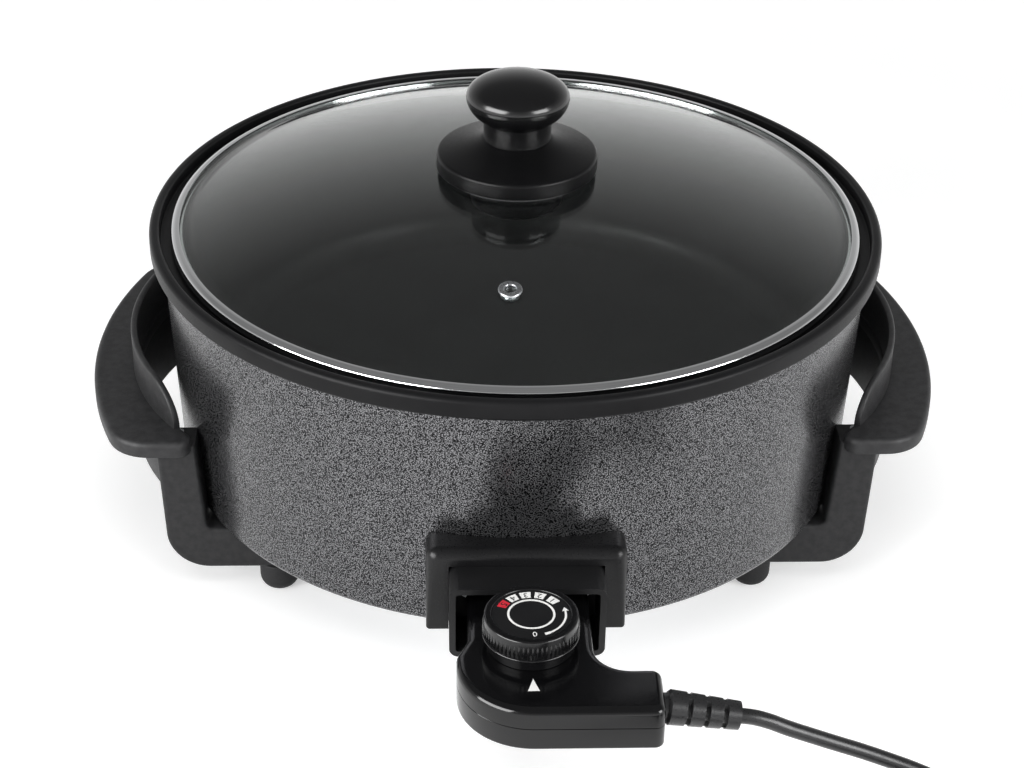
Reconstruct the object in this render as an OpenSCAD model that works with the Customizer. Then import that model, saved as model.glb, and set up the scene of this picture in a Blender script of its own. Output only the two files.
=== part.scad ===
// Electric skillet with a lift-off glass lid, handles carried on legs and a plug-in heat control.
// Millimetres. The origin is on the table under the middle of the pan, and the control is towards -Y.

/* [Stand] */
// Height of a foot under its leg
foot_h = 14.5; // [12:0.1:20]
// Radius of a foot
foot_r = 9; // [7:0.1:10]
// Distance from a post's middle in to its foot's middle
foot_in = 42.9; // [36:0.1:48]
// Distance between the front and rear feet
feet_dy = 144; // [138:1:148]
// Thickness of the bar under the pan
bar_h = 21.3; // [19:0.1:25]
// Length of the bar past the middle of its foot, towards the pan's axis
bar_in = 12.5; // [10:0.5:20]
// Depth of a leg from front to back
leg_d = 16; // [14:0.5:17]
// Width of a leg's post
post_w = 17.4; // [15:0.1:19]
// How far a post's outer side stands out past the casing's top
post_out = 0.1; // [-1:0.1:2]
// How far the foot of a post leans in
post_lean = 2.8; // [0:0.2:4]
// How much wider a post is at its foot
post_taper = 1.5; // [0:0.1:2.5]
// Radius of a leg's lower outer corner
leg_round = 19; // [12:0.5:20]
// Radius of the screws that hold the legs
leg_screw_r = 2; // [1.5:0.1:2.4]

/* [Pan] */
// Outer radius of the rolled rim
rim_r = 165.7; // [163:0.1:168]
// Width of the rolled rim
rim_w = 4.7; // [4:0.1:5.5]
// Height of the rolled rim
rim_h = 8.9; // [8.4:0.1:11]
// Depth of the lid's ledge under the rim's top
ledge_drop = 5.7; // [5.5:0.1:7]
// Width of the lid's ledge
ledge_w = 10.5; // [9.5:0.1:11.5]
// Thickness of the pan's wall
pan_wall = 2.5; // [2:0.1:3]
// Thickness of the pan's floor
pan_floor = 3; // [2.5:0.1:4]
// Depth of the pan from its rim to its floor
pan_depth = 87; // [83:0.5:90]
// How much the pan narrows from its ledge to its floor
pan_draft = 3; // [1:0.5:5]
// Inner radius where the wall meets the floor
pan_fillet = 14; // [8:1:20]

/* [Casing] */
// Height of the casing
casing_h = 110.7; // [108:0.1:114]
// Thickness of the casing's sheet
casing_t = 1; // [0.7:0.1:1.3]
// How much the casing narrows towards its base
casing_taper = 4.7; // [3:0.1:6]
// Radius of the casing's lower edge
casing_fillet = 4; // [2:0.5:5]
// Width of the flange turned in at the base
flange_w = 16; // [14:0.5:20]
// Thickness of the base plate
base_t = 0.8; // [0.6:0.1:1.2]
// Radius of the studs under the pan
stud_r = 2.5; // [2:0.1:3]
// Radius of the circle of studs
stud_circle_r = 60; // [45:1:75]

/* [Heating] */
// Diameter of the heating tube
elem_d = 8; // [7:0.1:8.5]
// Radius of the heating ring
ring_r = 95; // [85:1:108]
// Radius of the bends that lead to the terminals
bend_r = 12; // [9:0.5:15]
// Distance between the two terminal pins
pin_pitch = 26; // [25:0.5:28]
// Radius of a terminal pin
pin_r = 2.5; // [2:0.1:2.7]
// Length of a pin in front of the terminal block
pin_out = 18; // [14:0.5:18.5]
// Width of the terminal block
block_w = 56; // [54:0.5:57]
// Height of the terminal block
block_h = 18; // [16:0.5:22]
// Thickness of the terminal block
block_t = 10; // [8:0.5:12]
// Length of the probe's guide tube behind the block
guide_len = 48; // [40:1:52]

/* [Socket] */
// Width of the frame round the socket
frame_w = 83; // [80:0.5:88]
// Height of the frame
frame_h = 39.8; // [38:0.2:44]
// How far the frame's middle stands over the terminals
frame_rise = 4.4; // [3.6:0.2:6]
// How far the frame stands out of the casing
frame_out = 11.2; // [9:0.2:13]
// Radius of the frame's front edges
frame_round = 5; // [3:0.5:6]
// Radius of the frame's lower edges
frame_low_round = 1.6; // [0.8:0.1:4]
// Width of the collar
collar_w = 64; // [63:0.5:66]
// Height of the collar
collar_h = 34; // [31:0.5:34.5]
// Thickness of the collar's wall
collar_wall = 2.6; // [2:0.1:2.9]
// How far the collar stands out of the casing
collar_out = 26.9; // [24:0.1:30]

/* [Handles] */
// Height of the grip's top over the pan's base
grip_rise = 49.2; // [44:0.2:54]
// How far the grip's outer edge stands out of the casing
grip_out = 37.6; // [34:0.1:42]
// Length of the grip past the legs at each end
grip_over = 5; // [3.5:0.5:8]
// Thickness of the grip's plate
grip_t = 4; // [3.5:0.1:5]
// Depth of the grip's edge
skirt_h = 7.7; // [6.5:0.1:12]
// Thickness of the grip's edge
skirt_t = 3; // [2:0.1:3.5]
// Radius of the grip's outer corners
grip_round = 20; // [10:0.5:24]
// Radius of the shield's outer face
shield_r = 118; // [112:0.5:124]
// Gap between the shield and the casing at the middle
shield_gap = 17; // [14:0.5:20]
// Thickness of the shield
shield_t = 3; // [2.4:0.1:3.6]
// Height of the shield above the grip
shield_rise = 19; // [18:0.5:24]
// Depth of the shield below the grip
shield_drop = 39; // [20:1:44]
// How far the shield's ends stop short of the grip's ends
shield_in = 12; // [6:0.5:18]
// Radius of the shield's upper corners
shield_round = 17; // [10:0.5:17.5]

/* [Lid] */
// Thickness of the glass
glass_t = 3.4; // [3:0.1:4]
// Rise of the dome from its edge to its top
dome_rise = 23.6; // [18:0.2:28]
// Gap between the lid's steel ring and the rolled rim
lid_gap = 4.8; // [3:0.1:6]
// Thickness of the ring's sheet
ring_t = 0.8; // [0.6:0.1:1]
// Width of the ring's lips
lip_w = 4; // [3:0.1:5]
// Radius of the vent hole
vent_r = 2.5; // [1.5:0.1:3.5]
// Outer radius of the vent's eyelet
eyelet_r = 5.2; // [4.2:0.1:7]
// Distance of the vent from the lid's middle
vent_out = 97; // [80:1:110]
// Radius of the knob's base
base_r = 36.2; // [32:0.2:40]
// Height of the knob's base
knob_base_h = 14.3; // [12:0.1:17]
// Thickness of the base's edge
base_edge = 7.7; // [6:0.1:9]
// Radius of the knob's neck
neck_r = 15.2; // [13:0.2:17]
// Radius of the knob's grip
grip_knob_r = 23; // [20:0.2:26]
// Height of the knob's grip
knob_h = 29.5; // [26:0.5:36]
// Radius of the boss inside the lid
boss_r = 20.7; // [16:0.1:24]
// Depth of the boss inside the lid
boss_h = 15.6; // [12:0.2:18]
// Radius of the knob's screw
knob_screw_r = 2.5; // [2:0.1:3]

/* [Control] */
// Height of the control's housing
ctl_h = 19; // [18:0.5:21]
// Width of the control's neck
neck_w = 49.7; // [48:0.1:54]
// Distance from the control's back to the dial's axis
dial_in = 44.46; // [42:0.02:48]
// Distance from the dial's axis to the control's front face
ctl_front = 42; // [39:0.5:46]
// Reach of the control's arm to the right
arm_x = 50.4; // [48:0.1:56]
// Depth of the arm from front to back
arm_d = 26; // [25.5:0.5:28]
// Radius of the control's front left corner
corner_r = 30; // [24:0.5:32]
// Radius of the hollow corner between neck and arm
hollow_r = 14; // [8:0.5:15]
// How far the head stands out of the neck on the left
head_over = 4.6; // [2:0.1:6]
// Radius of the control's upper edges
edge_r = 3; // [1.5:0.1:3.4]
// Radius of the control's lower edges
low_edge_r = 1.2; // [0.5:0.1:3]
// Thickness of the housing's wall
ctl_wall = 2.2; // [1.8:0.1:2.6]
// Radius of the sensor probe
probe_r = 3; // [2.4:0.1:3.2]
// Length of the sensor probe in front of the housing
probe_len = 58; // [50:1:60]
// Radius of the dial
dial_r = 19.3; // [17:0.1:20]
// Height of the dial's fluted part
dial_h = 11; // [9:0.2:13]
// Height of the step under the dial
step_h = 3.5; // [2.5:0.1:5]
// Number of flutes round the dial
flutes = 60; // [40:1:72]
// Depth of a flute
flute_depth = 0.7; // [0.3:0.1:0.9]
// Radius of the dial's spindle
spindle_r = 3; // [2.5:0.1:3.5]

/* [Cord] */
// Diameter of the cord
cord_d = 6.2; // [6:0.1:6.4]
// Radius of the plug's body
plug_r = 18.5; // [18:0.1:18.5]
// Length of the plug's body
plug_len = 34; // [30:1:40]
// Radius of a plug pin
plug_pin_r = 2.4; // [2:0.05:2.4]
// Length of a plug pin
plug_pin_len = 19; // [17:0.5:20]
// Distance between the plug pins
plug_pin_pitch = 19; // [17:0.5:20]

/* [Hidden] */
$fn = 96;
eps = 0.01;

// Clearances
seat_gap = 0.3;   // between pieces that lie close without touching
fit_gap = 0.1;    // round a screw or a piece in its pocket
run_gap = 0.05;   // round a shaft or pin that moves

// Heights, from the table up
base_z = foot_h + bar_h;
casing_z = base_z + base_t;
casing_top_z = casing_z + casing_h;
ledge_z = casing_top_z + pan_wall;
rim_top_z = ledge_z + ledge_drop;
floor_z = rim_top_z - pan_depth;
under_z = floor_z - pan_floor;
elem_r = elem_d / 2;
elem_z = under_z - seat_gap - elem_r;
grip_z = base_z + grip_rise;
grip_under_z = grip_z - grip_t;

// Radii of the pan and its casing
ledge_out_r = rim_r - rim_w;
ledge_in_r = ledge_out_r - ledge_w;
lid_r = ledge_out_r - lid_gap;
casing_gap = 0.5;
casing_top_r = ledge_out_r - casing_gap;
casing_bot_r = casing_top_r - casing_taper;
function casing_r(z) = casing_bot_r + casing_taper * (z - casing_z) / casing_h;
plate_r = casing_bot_r - casing_fillet - 2;

// Places of the grips, posts and feet
grip_r = casing_r(grip_z) + grip_out;
grip_half = feet_dy / 2 + leg_d / 2 + grip_over;
post_x = casing_top_r + post_out - post_w / 2;
feet_dx = 2 * (post_x - foot_in);

// Places along Y of what stands at the front
face_y = -casing_r(elem_z);
block_out = 1.1;
block_front_y = face_y - block_out;
block_back_y = block_front_y + block_t;
socket_floor_t = 2;
socket_floor_y = block_front_y - seat_gap;
frame_y = face_y - frame_out;
collar_y = face_y - collar_out;

// Screws of the socket and their heads
socket_screw_r = 1.5;
socket_head_r = 3;
socket_head_h = 2;
frame_screw_x = collar_w / 2 + (frame_w - collar_w) / 4;
frame_screw_z = elem_z + collar_h / 2 + 1.5;
block_screw_x = block_w / 2 - 4;

// Studs, nuts and leg screws
nut_h = 4;
nut_r = 4.6;
stud_tail = 1.5;
foot_stem_r = 3;
foot_stem_h = 8;
foot_bevel = 0.4;
leg_screw_in = 6.6;
leg_screw_x = sqrt(pow(plate_r - leg_screw_in, 2) - pow(feet_dy / 2, 2));
leg_head_r = 2 * leg_screw_r;
leg_head_h = 3;
leg_nut_h = 3;
post_screw_in = 1.5;
post_screw_x = post_x - post_screw_in;
post_screw_len = 21;
post_screw_head_z = grip_under_z - post_screw_len;
post_screw_bite = 2.5;

// Lid, from the ledge up
ring_h = glass_t + 2 * ring_t + 2 * run_gap;
lid_z = ledge_z + seat_gap;
glass_r = lid_r - ring_t - 2 * run_gap;
glass_z = lid_z + ring_t + run_gap;
glass_flat_r = lid_r - 1.7 * lip_w;
dome_r = (glass_flat_r * glass_flat_r + dome_rise * dome_rise) / (2 * dome_rise);
dome_top_z = glass_z + glass_t + dome_rise;
function dome_z(r) = dome_top_z - dome_r + sqrt(dome_r * dome_r - r * r);
vent_angle = 266.5;
eyelet_lip_t = 0.8;
eyelet_wall = 0.6;
knob_z = dome_top_z + 0.7;
neck_h = 9;
knob_crown_h = 10;
knob_top_z = knob_z + knob_base_h + knob_h;
boss_top_z = dome_top_z - glass_t;
knob_head_h = 3;
knob_head_r = 5;
knob_bite = 10;
knob_screw_len = knob_z + knob_base_h + knob_bite - boss_top_z + boss_h - 1;

// Control housing: seam height, places and cavity
ctl_z = elem_z - ctl_h / 2 - 0.7;
seam_z = elem_z;
ctl_top_z = ctl_z + ctl_h;
ctl_back_y = socket_floor_y - socket_floor_t - socket_head_h - 1.3;
dial_y = dial_in - ctl_back_y;
ctl_front_y = -dial_y - ctl_front;
arm_y = ctl_front_y + arm_d / 2;
sleeve_wall = 1;
sleeve_r = pin_r + run_gap + sleeve_wall;
sleeve_len = pin_out + 3.5;
sleeve_front_y = ctl_back_y - 0.4;
dial_base_z = ctl_top_z + seat_gap;
dial_low_z = dial_base_z + step_h;
dial_top_z = dial_low_z + dial_h;
dial_step_r = dial_r - 1.4;
dial_face_r = dial_r - 3.2;
dial_face_t = 1.2;
dial_face_drop = 0.4;
ctl_screw_r = 1.25;
relief_r = 7;
relief_end_r = 5.7;
relief_neck_r = 5.5;
relief_len = 28.9;
relief_tilt = 9.5;

// Cord: the fall from the strain relief as [x and y from its end, share of the height left], then the coil
cord_r = cord_d / 2;
relief_dir = [cos(relief_tilt), 0, -sin(relief_tilt)];
relief_start = arm_x + 1.3;
run_start = [relief_start, arm_y, seam_z] + relief_len * relief_dir;
cord_fall = [
    [12.8, 0, 0.9361], [19.8, 0, 0.8728], [29.8, 0, 0.7942], [39.8, 0, 0.7174], [49.8, 0, 0.6426],
    [59.8, -0.5, 0.5678], [69.8, -1.5, 0.4949], [79.8, -3.5, 0.422], [89.8, -7, 0.3491],
    [98.8, -12, 0.282], [106.8, -18, 0.2168], [113.8, -25.5, 0.1554], [119.8, -34, 0.1017],
    [124.8, -44, 0.0556], [128.3, -55, 0.0192],
];
coil_x = run_start[0] + 89.8;
coil_y = run_start[1] - 73;
coil_z = 4.3;
coil_r = 40.5;
coil_pitch = 6.8;
coil_in_turns = 2;
coil_out_turns = 1.75;
coil_steps = 24;
coil_sides = 6;
run_sides = 8;
plug_axis_z = plug_r + fit_gap;
tail_rise = [[13.8, 0.147], [21.8, 0.493], [29.8, 0.853]];
plug_x = coil_x - 100;
plug_neck = 16;
plug_neck_r = 5.4;
plug_root_r = plug_pin_r - 0.9;
plug_root_len = 7;
clip_w = 7;
clip_len = 17;
clip_t = 1.2;
tie_t = 0.8;
tie_w = 9;

// Helpers

// Points of an arc about c, from angle a0 to angle a1
function arc(c, r, a0, a1, n = 8) =
    [for (i = [0:n]) [c[0] + r * cos(a0 + (a1 - a0) * i / n), c[1] + r * sin(a0 + (a1 - a0) * i / n)]];

// Rectangle about the origin with round corners
module rounded_rect(w, h, r) {
    square([w, h - 2 * r], center = true);
    square([w - 2 * r, h], center = true);
    for (sx = [-1, 1], sy = [-1, 1])
        translate([sx * (w / 2 - r), sy * (h / 2 - r)])
            circle(r);
}

// Rod along -Y from a point
module rod_y(x, y, z, r, len) {
    translate([x, y, z])
        rotate([90, 0, 0])
            cylinder(r = r, h = len);
}

// Box given by its lowest and highest corners
module box(a, b) {
    translate(a)
        cube(b - a);
}

// Plate in the XZ plane, drawn as [x, z], from y0 towards -Y
module upright(y0, len) {
    translate([0, y0, 0])
        rotate([90, 0, 0])
            linear_extrude(len)
                children();
}

// The casing's outside, larger by gap, for cutting what stands close to it
module casing_outside(gap) {
    translate([0, 0, casing_z])
        cylinder(r1 = casing_bot_r + gap, r2 = casing_top_r + gap, h = casing_h);
}

module at_legs() {
    for (sx = [-1, 1], sy = [-1, 1])
        translate([sx * feet_dx / 2, sy * feet_dy / 2, 0])
            children();
}

// Pan and casing

module outer_casing() {
    c = [casing_bot_r - casing_fillet, casing_z + casing_fillet];
    outside = concat(
        [[casing_bot_r - flange_w, casing_z]],
        arc(c, casing_fillet, -90, 0),
        [[casing_top_r, casing_top_z]]
    );
    inside = concat(
        [[casing_top_r - casing_t, casing_top_z]],
        arc(c, casing_fillet - casing_t, 0, -90),
        [[casing_bot_r - flange_w, casing_z + casing_t]]
    );
    color("dimgray")
        difference() {
            rotate_extrude()
                polygon(concat(outside, inside));
            box([-block_w / 2 - seat_gap, -rim_r, elem_z - block_h / 2 - seat_gap],
                [block_w / 2 + seat_gap, -casing_bot_r / 2, elem_z + block_h / 2 + seat_gap]);
            for (sx = [-1, 1])
                rod_y(sx * frame_screw_x, -casing_bot_r / 2, frame_screw_z, socket_screw_r + fit_gap, rim_r);
            for (sx = [-1, 1], sy = [-1, 1])
                translate([sx * leg_screw_x, sy * feet_dy / 2, casing_z - eps])
                    cylinder(r = leg_screw_r + fit_gap, h = casing_t + 2 * eps);
        }
}

module inner_pan() {
    bead_in = rim_w / 3;
    bead_out = rim_w / 2;
    wall_top_r = ledge_in_r - 1;
    wall_low_r = wall_top_r - pan_draft;
    skirt_z = rim_top_z - rim_h;
    fillet = [wall_low_r - pan_fillet, floor_z + pan_fillet];
    inside = concat(
        [[0, floor_z]],
        arc(fillet, pan_fillet, -90, 0),
        arc([wall_top_r + 1, ledge_z - 1], 1, 180, 90, 4),
        [[ledge_out_r, ledge_z]],
        arc([ledge_out_r + bead_in, rim_top_z - bead_in], bead_in, 180, 90, 6)
    );
    outside = concat(
        arc([rim_r - bead_out, rim_top_z - bead_out], bead_out, 90, 0),
        arc([rim_r - bead_in, skirt_z + bead_in], bead_in, 0, -90, 6),
        [[ledge_out_r, skirt_z], [ledge_out_r, casing_top_z], [wall_top_r + pan_wall, casing_top_z]],
        arc(fillet, pan_fillet + pan_floor, 0, -90),
        [[0, under_z]]
    );
    color("#1b1b1c")
        rotate_extrude()
            polygon(concat(inside, outside));
}

module at_studs() {
    for (a = [90, 210, 330])
        rotate([0, 0, a])
            translate([stud_circle_r, 0, 0])
                children();
}

module pan_studs() {
    color("silver")
        at_studs()
            translate([0, 0, base_z - nut_h - stud_tail])
                cylinder(r = stud_r, h = under_z - base_z + nut_h + stud_tail);
}

module base_plate() {
    rib_in = 44.8;
    rib_r = plate_r - rib_in;
    rib_w = 6;
    rib_h = 1.6;
    color("lightgray")
        difference() {
            rotate_extrude()
                polygon([
                    [0, base_z], [rib_r - rib_w, base_z], [rib_r - rib_w / 2, base_z + rib_h],
                    [rib_r + rib_w / 2, base_z + rib_h], [rib_r + rib_w, base_z], [plate_r, base_z],
                    [plate_r, casing_z], [rib_r + rib_w, casing_z], [rib_r + rib_w / 2, casing_z + rib_h],
                    [rib_r - rib_w / 2, casing_z + rib_h], [rib_r - rib_w, casing_z], [0, casing_z],
                ]);
            at_studs()
                translate([0, 0, base_z - eps])
                    cylinder(r = stud_r + fit_gap, h = base_t + 2 * eps);
            for (sx = [-1, 1], sy = [-1, 1])
                translate([sx * leg_screw_x, sy * feet_dy / 2, base_z - eps])
                    cylinder(r = leg_screw_r + fit_gap, h = base_t + 2 * eps);
        }
}

module base_nuts() {
    color("silver")
        at_studs()
            translate([0, 0, base_z - nut_h])
                difference() {
                    cylinder(r = nut_r, h = nut_h, $fn = 6);
                    translate([0, 0, -eps])
                        cylinder(r = stud_r + run_gap, h = nut_h + 2 * eps);
                }
}

// Heating element and terminals

// Middle line of the heating tube: one leg, a bend, the ring and back out by the other leg
function element_path() =
    let (
        leg_x = pin_pitch / 2,
        bend_x = leg_x + bend_r,
        bend_y = sqrt(pow(ring_r + bend_r, 2) - bend_x * bend_x),
        gap_a = atan2(bend_x, bend_y),
        plan = concat(
            [[leg_x, block_back_y], [leg_x, block_back_y + elem_d]],
            arc([bend_x, -bend_y], bend_r, 180, 90 + gap_a, 5),
            arc([0, 0], ring_r, gap_a - 90 + 8, 270 - gap_a - 8, 40),
            arc([-bend_x, -bend_y], bend_r, 90 - gap_a, 0, 5),
            [[-leg_x, block_back_y + elem_d], [-leg_x, block_back_y]]
        )
    )
    [for (p = plan) [p[0], p[1], elem_z]];

module heating_element() {
    color("#5a5652")
        tube(element_path(), elem_r, 10);
}

module terminal_pins() {
    color("gold")
        for (sx = [-1, 1])
            rod_y(sx * pin_pitch / 2, block_back_y, elem_z, pin_r, block_t + pin_out);
}

module terminal_block() {
    color("ivory")
        difference() {
            box([-block_w / 2, block_front_y, elem_z - block_h / 2],
                [block_w / 2, block_back_y, elem_z + block_h / 2]);
            for (sx = [-1, 1]) {
                rod_y(sx * pin_pitch / 2, block_back_y + eps, elem_z, pin_r + run_gap, block_t + 2 * eps);
                rod_y(sx * block_screw_x, block_back_y - 2, elem_z, socket_screw_r + run_gap, block_t);
            }
            rod_y(0, block_back_y + eps, elem_z, probe_r + seat_gap, block_t + 2 * eps);
        }
}

module probe_guide() {
    color("darkgray")
        difference() {
            rod_y(0, block_back_y + guide_len, elem_z, probe_r + seat_gap + 0.8, guide_len);
            rod_y(0, block_back_y + guide_len + eps, elem_z, probe_r + seat_gap, guide_len + 2 * eps);
        }
}

// Bent strip that holds the guide tube on the base plate and earths it
module earth_strip() {
    strip_w = 8;
    strip_t = 1;
    strip_y = block_back_y + 20;
    foot_len = 10;
    color("peru")
        difference() {
            union() {
                box([-strip_w / 2, strip_y - strip_t, casing_z], [strip_w / 2, strip_y, elem_z]);
                box([-strip_w / 2, strip_y - strip_t, casing_z],
                    [strip_w / 2, strip_y + foot_len, casing_z + strip_t]);
            }
            rod_y(0, strip_y + eps, elem_z, probe_r + seat_gap + 0.8 + run_gap, strip_t + 2 * eps);
        }
}

// Socket at the front

module socket_frame() {
    mid_z = elem_z + frame_rise;
    color("#2a2a2b")
        difference() {
            hull($fn = 32) {
                for (sx = [-1, 1], sz = [-1, 1]) {
                    r = sz > 0 ? frame_round : frame_low_round;
                    translate([sx * (frame_w / 2 - r), frame_y + r, mid_z + sz * (frame_h / 2 - r)]) {
                        sphere(r);
                        rotate([-90, 0, 0])
                            cylinder(r = r, h = frame_out + 8);
                    }
                }
            }
            casing_outside(seat_gap);
            upright(-casing_bot_r / 2, rim_r)
                translate([0, elem_z])
                    square([collar_w + 2 * fit_gap, collar_h + 2 * fit_gap], center = true);
            box([-collar_w / 2 - fit_gap, -2 * rim_r, mid_z - frame_h], [collar_w / 2 + fit_gap, 0, elem_z]);
            for (sx = [-1, 1])
                rod_y(sx * frame_screw_x, -casing_bot_r / 2, frame_screw_z,
                    socket_screw_r + run_gap, -frame_y - casing_bot_r / 2 - 4);
        }
}

module socket_collar() {
    outer_round = 4;
    floor_y = socket_floor_y;
    in_w = collar_w - 2 * collar_wall;
    in_h = collar_h - 2 * collar_wall;
    color("#232324")
        difference() {
            upright(floor_y + 6, -collar_y + floor_y + 6)
                translate([0, elem_z])
                    rounded_rect(collar_w, collar_h, outer_round);
            upright(floor_y - socket_floor_t, rim_r)
                translate([0, elem_z])
                    rounded_rect(in_w, in_h, outer_round - collar_wall);
            upright(floor_y + 6 + eps, 6 + eps)
                translate([0, elem_z])
                    rounded_rect(in_w, in_h, outer_round - collar_wall);
            casing_outside(seat_gap);
            for (sx = [-1, 1]) {
                rod_y(sx * pin_pitch / 2, 0, elem_z, pin_r + 1, rim_r);
                rod_y(sx * block_screw_x, 0, elem_z, socket_screw_r + fit_gap, rim_r);
            }
            rod_y(0, 0, elem_z, probe_r + 1, rim_r);
        }
}

// Two screws from inside the casing hold the frame, and two hold the collar on the block
module socket_screws() {
    rim_in = casing_r(frame_screw_z) - casing_t;
    head_y = -sqrt(rim_in * rim_in - pow(frame_screw_x + socket_head_r, 2)) + seat_gap;
    color("silver")
        for (sx = [-1, 1]) {
            rod_y(sx * frame_screw_x, head_y + socket_head_h, frame_screw_z, socket_head_r, socket_head_h);
            rod_y(sx * frame_screw_x, head_y + eps, frame_screw_z, socket_screw_r, head_y - frame_y - 5);
            rod_y(sx * block_screw_x, socket_floor_y - socket_floor_t, elem_z, socket_head_r, socket_head_h);
            rod_y(sx * block_screw_x, block_back_y - 2.2, elem_z, socket_screw_r,
                block_back_y - 2.2 - socket_floor_y + socket_floor_t + eps);
        }
}

// Handles and legs

// Outline of the right grip seen from above, drawn in by inset
function grip_outline(inset) =
    let (
        half = grip_half - inset,
        out_r = grip_r - inset,
        in_r = inset > 0 ? shield_r + 1 : shield_r - shield_t - shield_lip,
        c_out = grip_round - inset,
        c_in = 0.3 * grip_round,
        oy = half - c_out,
        ox = sqrt(pow(out_r - c_out, 2) - oy * oy),
        iy = half - c_in,
        ix = sqrt(pow(in_r + c_in, 2) - iy * iy),
        ao = atan2(oy, ox),
        ai = atan2(iy, ix)
    )
    concat(
        arc([0, 0], out_r, -ao, ao, 32),
        arc([ox, oy], c_out, ao, 90),
        arc([shield_x + ix, iy], c_in, 90, 180 + ai),
        arc([shield_x, 0], in_r, ai, -ai, 32),
        arc([shield_x + ix, -iy], c_in, 180 - ai, 270),
        arc([ox, -oy], c_out, 270, 360 - ao)
    );
shield_lip = 0.5;
shield_x = casing_r(grip_z) + shield_gap + shield_t - shield_r;

// A post's width at a height, as [inner x, outer x]
function post_at(z) =
    let (down = (grip_under_z - z) / (grip_under_z - foot_h), x = post_x - post_lean * down)
    [x - post_w / 2 - post_taper * down, x + post_w / 2];

// The shield seen from the side, as [y, height over the grip]: round above, narrow between the posts below
module shield_face() {
    half = grip_half - shield_in;
    low_half = feet_dy / 2 - leg_d / 2 - 2;
    translate([-half, -grip_t - 1])
        square([2 * half, grip_t + 1 + shield_rise - shield_round]);
    translate([-half + shield_round, 0])
        square([2 * (half - shield_round), shield_rise]);
    for (sx = [-1, 1])
        translate([sx * (half - shield_round), shield_rise - shield_round])
            intersection() {
                circle(shield_round);
                translate([-shield_round, 0])
                    square([2 * shield_round, shield_round]);
            }
    translate([-low_half, -shield_drop])
        square([2 * low_half, shield_drop + 1]);
}

module handle() {
    difference() {
        union() {
            translate([0, 0, grip_z - skirt_h])
                linear_extrude(skirt_h)
                    polygon(grip_outline(0));
            intersection() {
                translate([shield_x, 0, grip_z - shield_drop])
                    difference() {
                        cylinder(r = shield_r, h = shield_drop + shield_rise, $fn = 180);
                        translate([0, 0, -eps])
                            cylinder(r = shield_r - shield_t, h = shield_drop + shield_rise + 2 * eps, $fn = 180);
                    }
                translate([shield_x, 0, grip_z])
                    rotate([90, 0, 90])
                        linear_extrude(2 * shield_r)
                            shield_face();
                translate([0, 0, grip_z - shield_drop - 1])
                    linear_extrude(shield_drop + shield_rise + 2)
                        polygon(grip_outline(0));
            }
        }
        translate([0, 0, grip_z - skirt_h - eps])
            linear_extrude(skirt_h - grip_t + eps)
                polygon(grip_outline(skirt_t));
        casing_outside(seat_gap);
        for (sy = [-1, 1]) {
            box([post_at(grip_under_z)[0] - 3, sy * feet_dy / 2 - leg_d / 2 - fit_gap, grip_z - skirt_h - eps],
                [post_at(grip_under_z)[1] + fit_gap, sy * feet_dy / 2 + leg_d / 2 + fit_gap, grip_under_z]);
            translate([post_screw_x, sy * feet_dy / 2, grip_under_z - eps])
                cylinder(r = leg_screw_r + run_gap, h = post_screw_bite + fit_gap);
        }
    }
}

module left_handle() {
    color("#303031")
        mirror([1, 0, 0])
            handle();
}

module right_handle() {
    color("#303031")
        handle();
}

// Leg of the right side: a post under the grip, a round corner and a bar under the pan
module leg(sx, sy) {
    bar_end = feet_dx / 2 - bar_in;
    low = post_at(base_z);
    top = post_at(grip_under_z);
    corner = [post_at(foot_h + leg_round)[1] - leg_round, foot_h + leg_round];
    outline = concat(
        [[bar_end, foot_h]],
        arc(corner, leg_round, -90, 0, 12),
        [[top[1], grip_under_z], [top[0], grip_under_z]],
        arc([low[0] - 3, base_z + 3], 3, 0, -90, 4),
        [[bar_end, base_z]]
    );
    color("#2b2b2c")
        mirror([sx < 0 ? 1 : 0, 0, 0])
            mirror([0, sy < 0 ? 1 : 0, 0])
                difference() {
                    upright(feet_dy / 2 + leg_d / 2, leg_d)
                        polygon(outline);
                    casing_outside(seat_gap);
                    translate([0, 0, base_z])
                        cylinder(r = casing_bot_r + seat_gap, h = base_t + eps);
                    translate([feet_dx / 2, feet_dy / 2, foot_h - eps])
                        cylinder(r = foot_stem_r + run_gap, h = foot_stem_h + fit_gap);
                    translate([leg_screw_x, feet_dy / 2, foot_h - eps])
                        cylinder(r = leg_screw_r + fit_gap, h = bar_h + 2 * eps);
                    translate([leg_screw_x, feet_dy / 2, foot_h - eps])
                        cylinder(r = leg_head_r + seat_gap, h = leg_head_h + 2 + eps);
                    translate([post_screw_x, feet_dy / 2, foot_h - eps])
                        cylinder(r = leg_screw_r + fit_gap, h = grip_under_z);
                    translate([post_screw_x, feet_dy / 2, foot_h - eps])
                        cylinder(r = leg_head_r + seat_gap, h = post_screw_head_z - foot_h + eps);
                }
}

module front_left_leg() leg(-1, -1);
module rear_left_leg() leg(-1, 1);
module front_right_leg() leg(1, -1);
module rear_right_leg() leg(1, 1);

module handle_screws() {
    color("silver")
        for (sx = [-1, 1], sy = [-1, 1])
            translate([sx * post_screw_x, sy * feet_dy / 2, post_screw_head_z - leg_head_h]) {
                cylinder(r = leg_head_r, h = leg_head_h);
                cylinder(r = leg_screw_r, h = grip_under_z + post_screw_bite - post_screw_head_z + leg_head_h);
            }
}

module leg_screws() {
    color("silver")
        for (sx = [-1, 1], sy = [-1, 1])
            translate([sx * leg_screw_x, sy * feet_dy / 2, foot_h + 2]) {
                cylinder(r = leg_head_r, h = leg_head_h);
                cylinder(r = leg_screw_r, h = casing_z + casing_t + leg_nut_h - foot_h - 2);
            }
}

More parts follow.
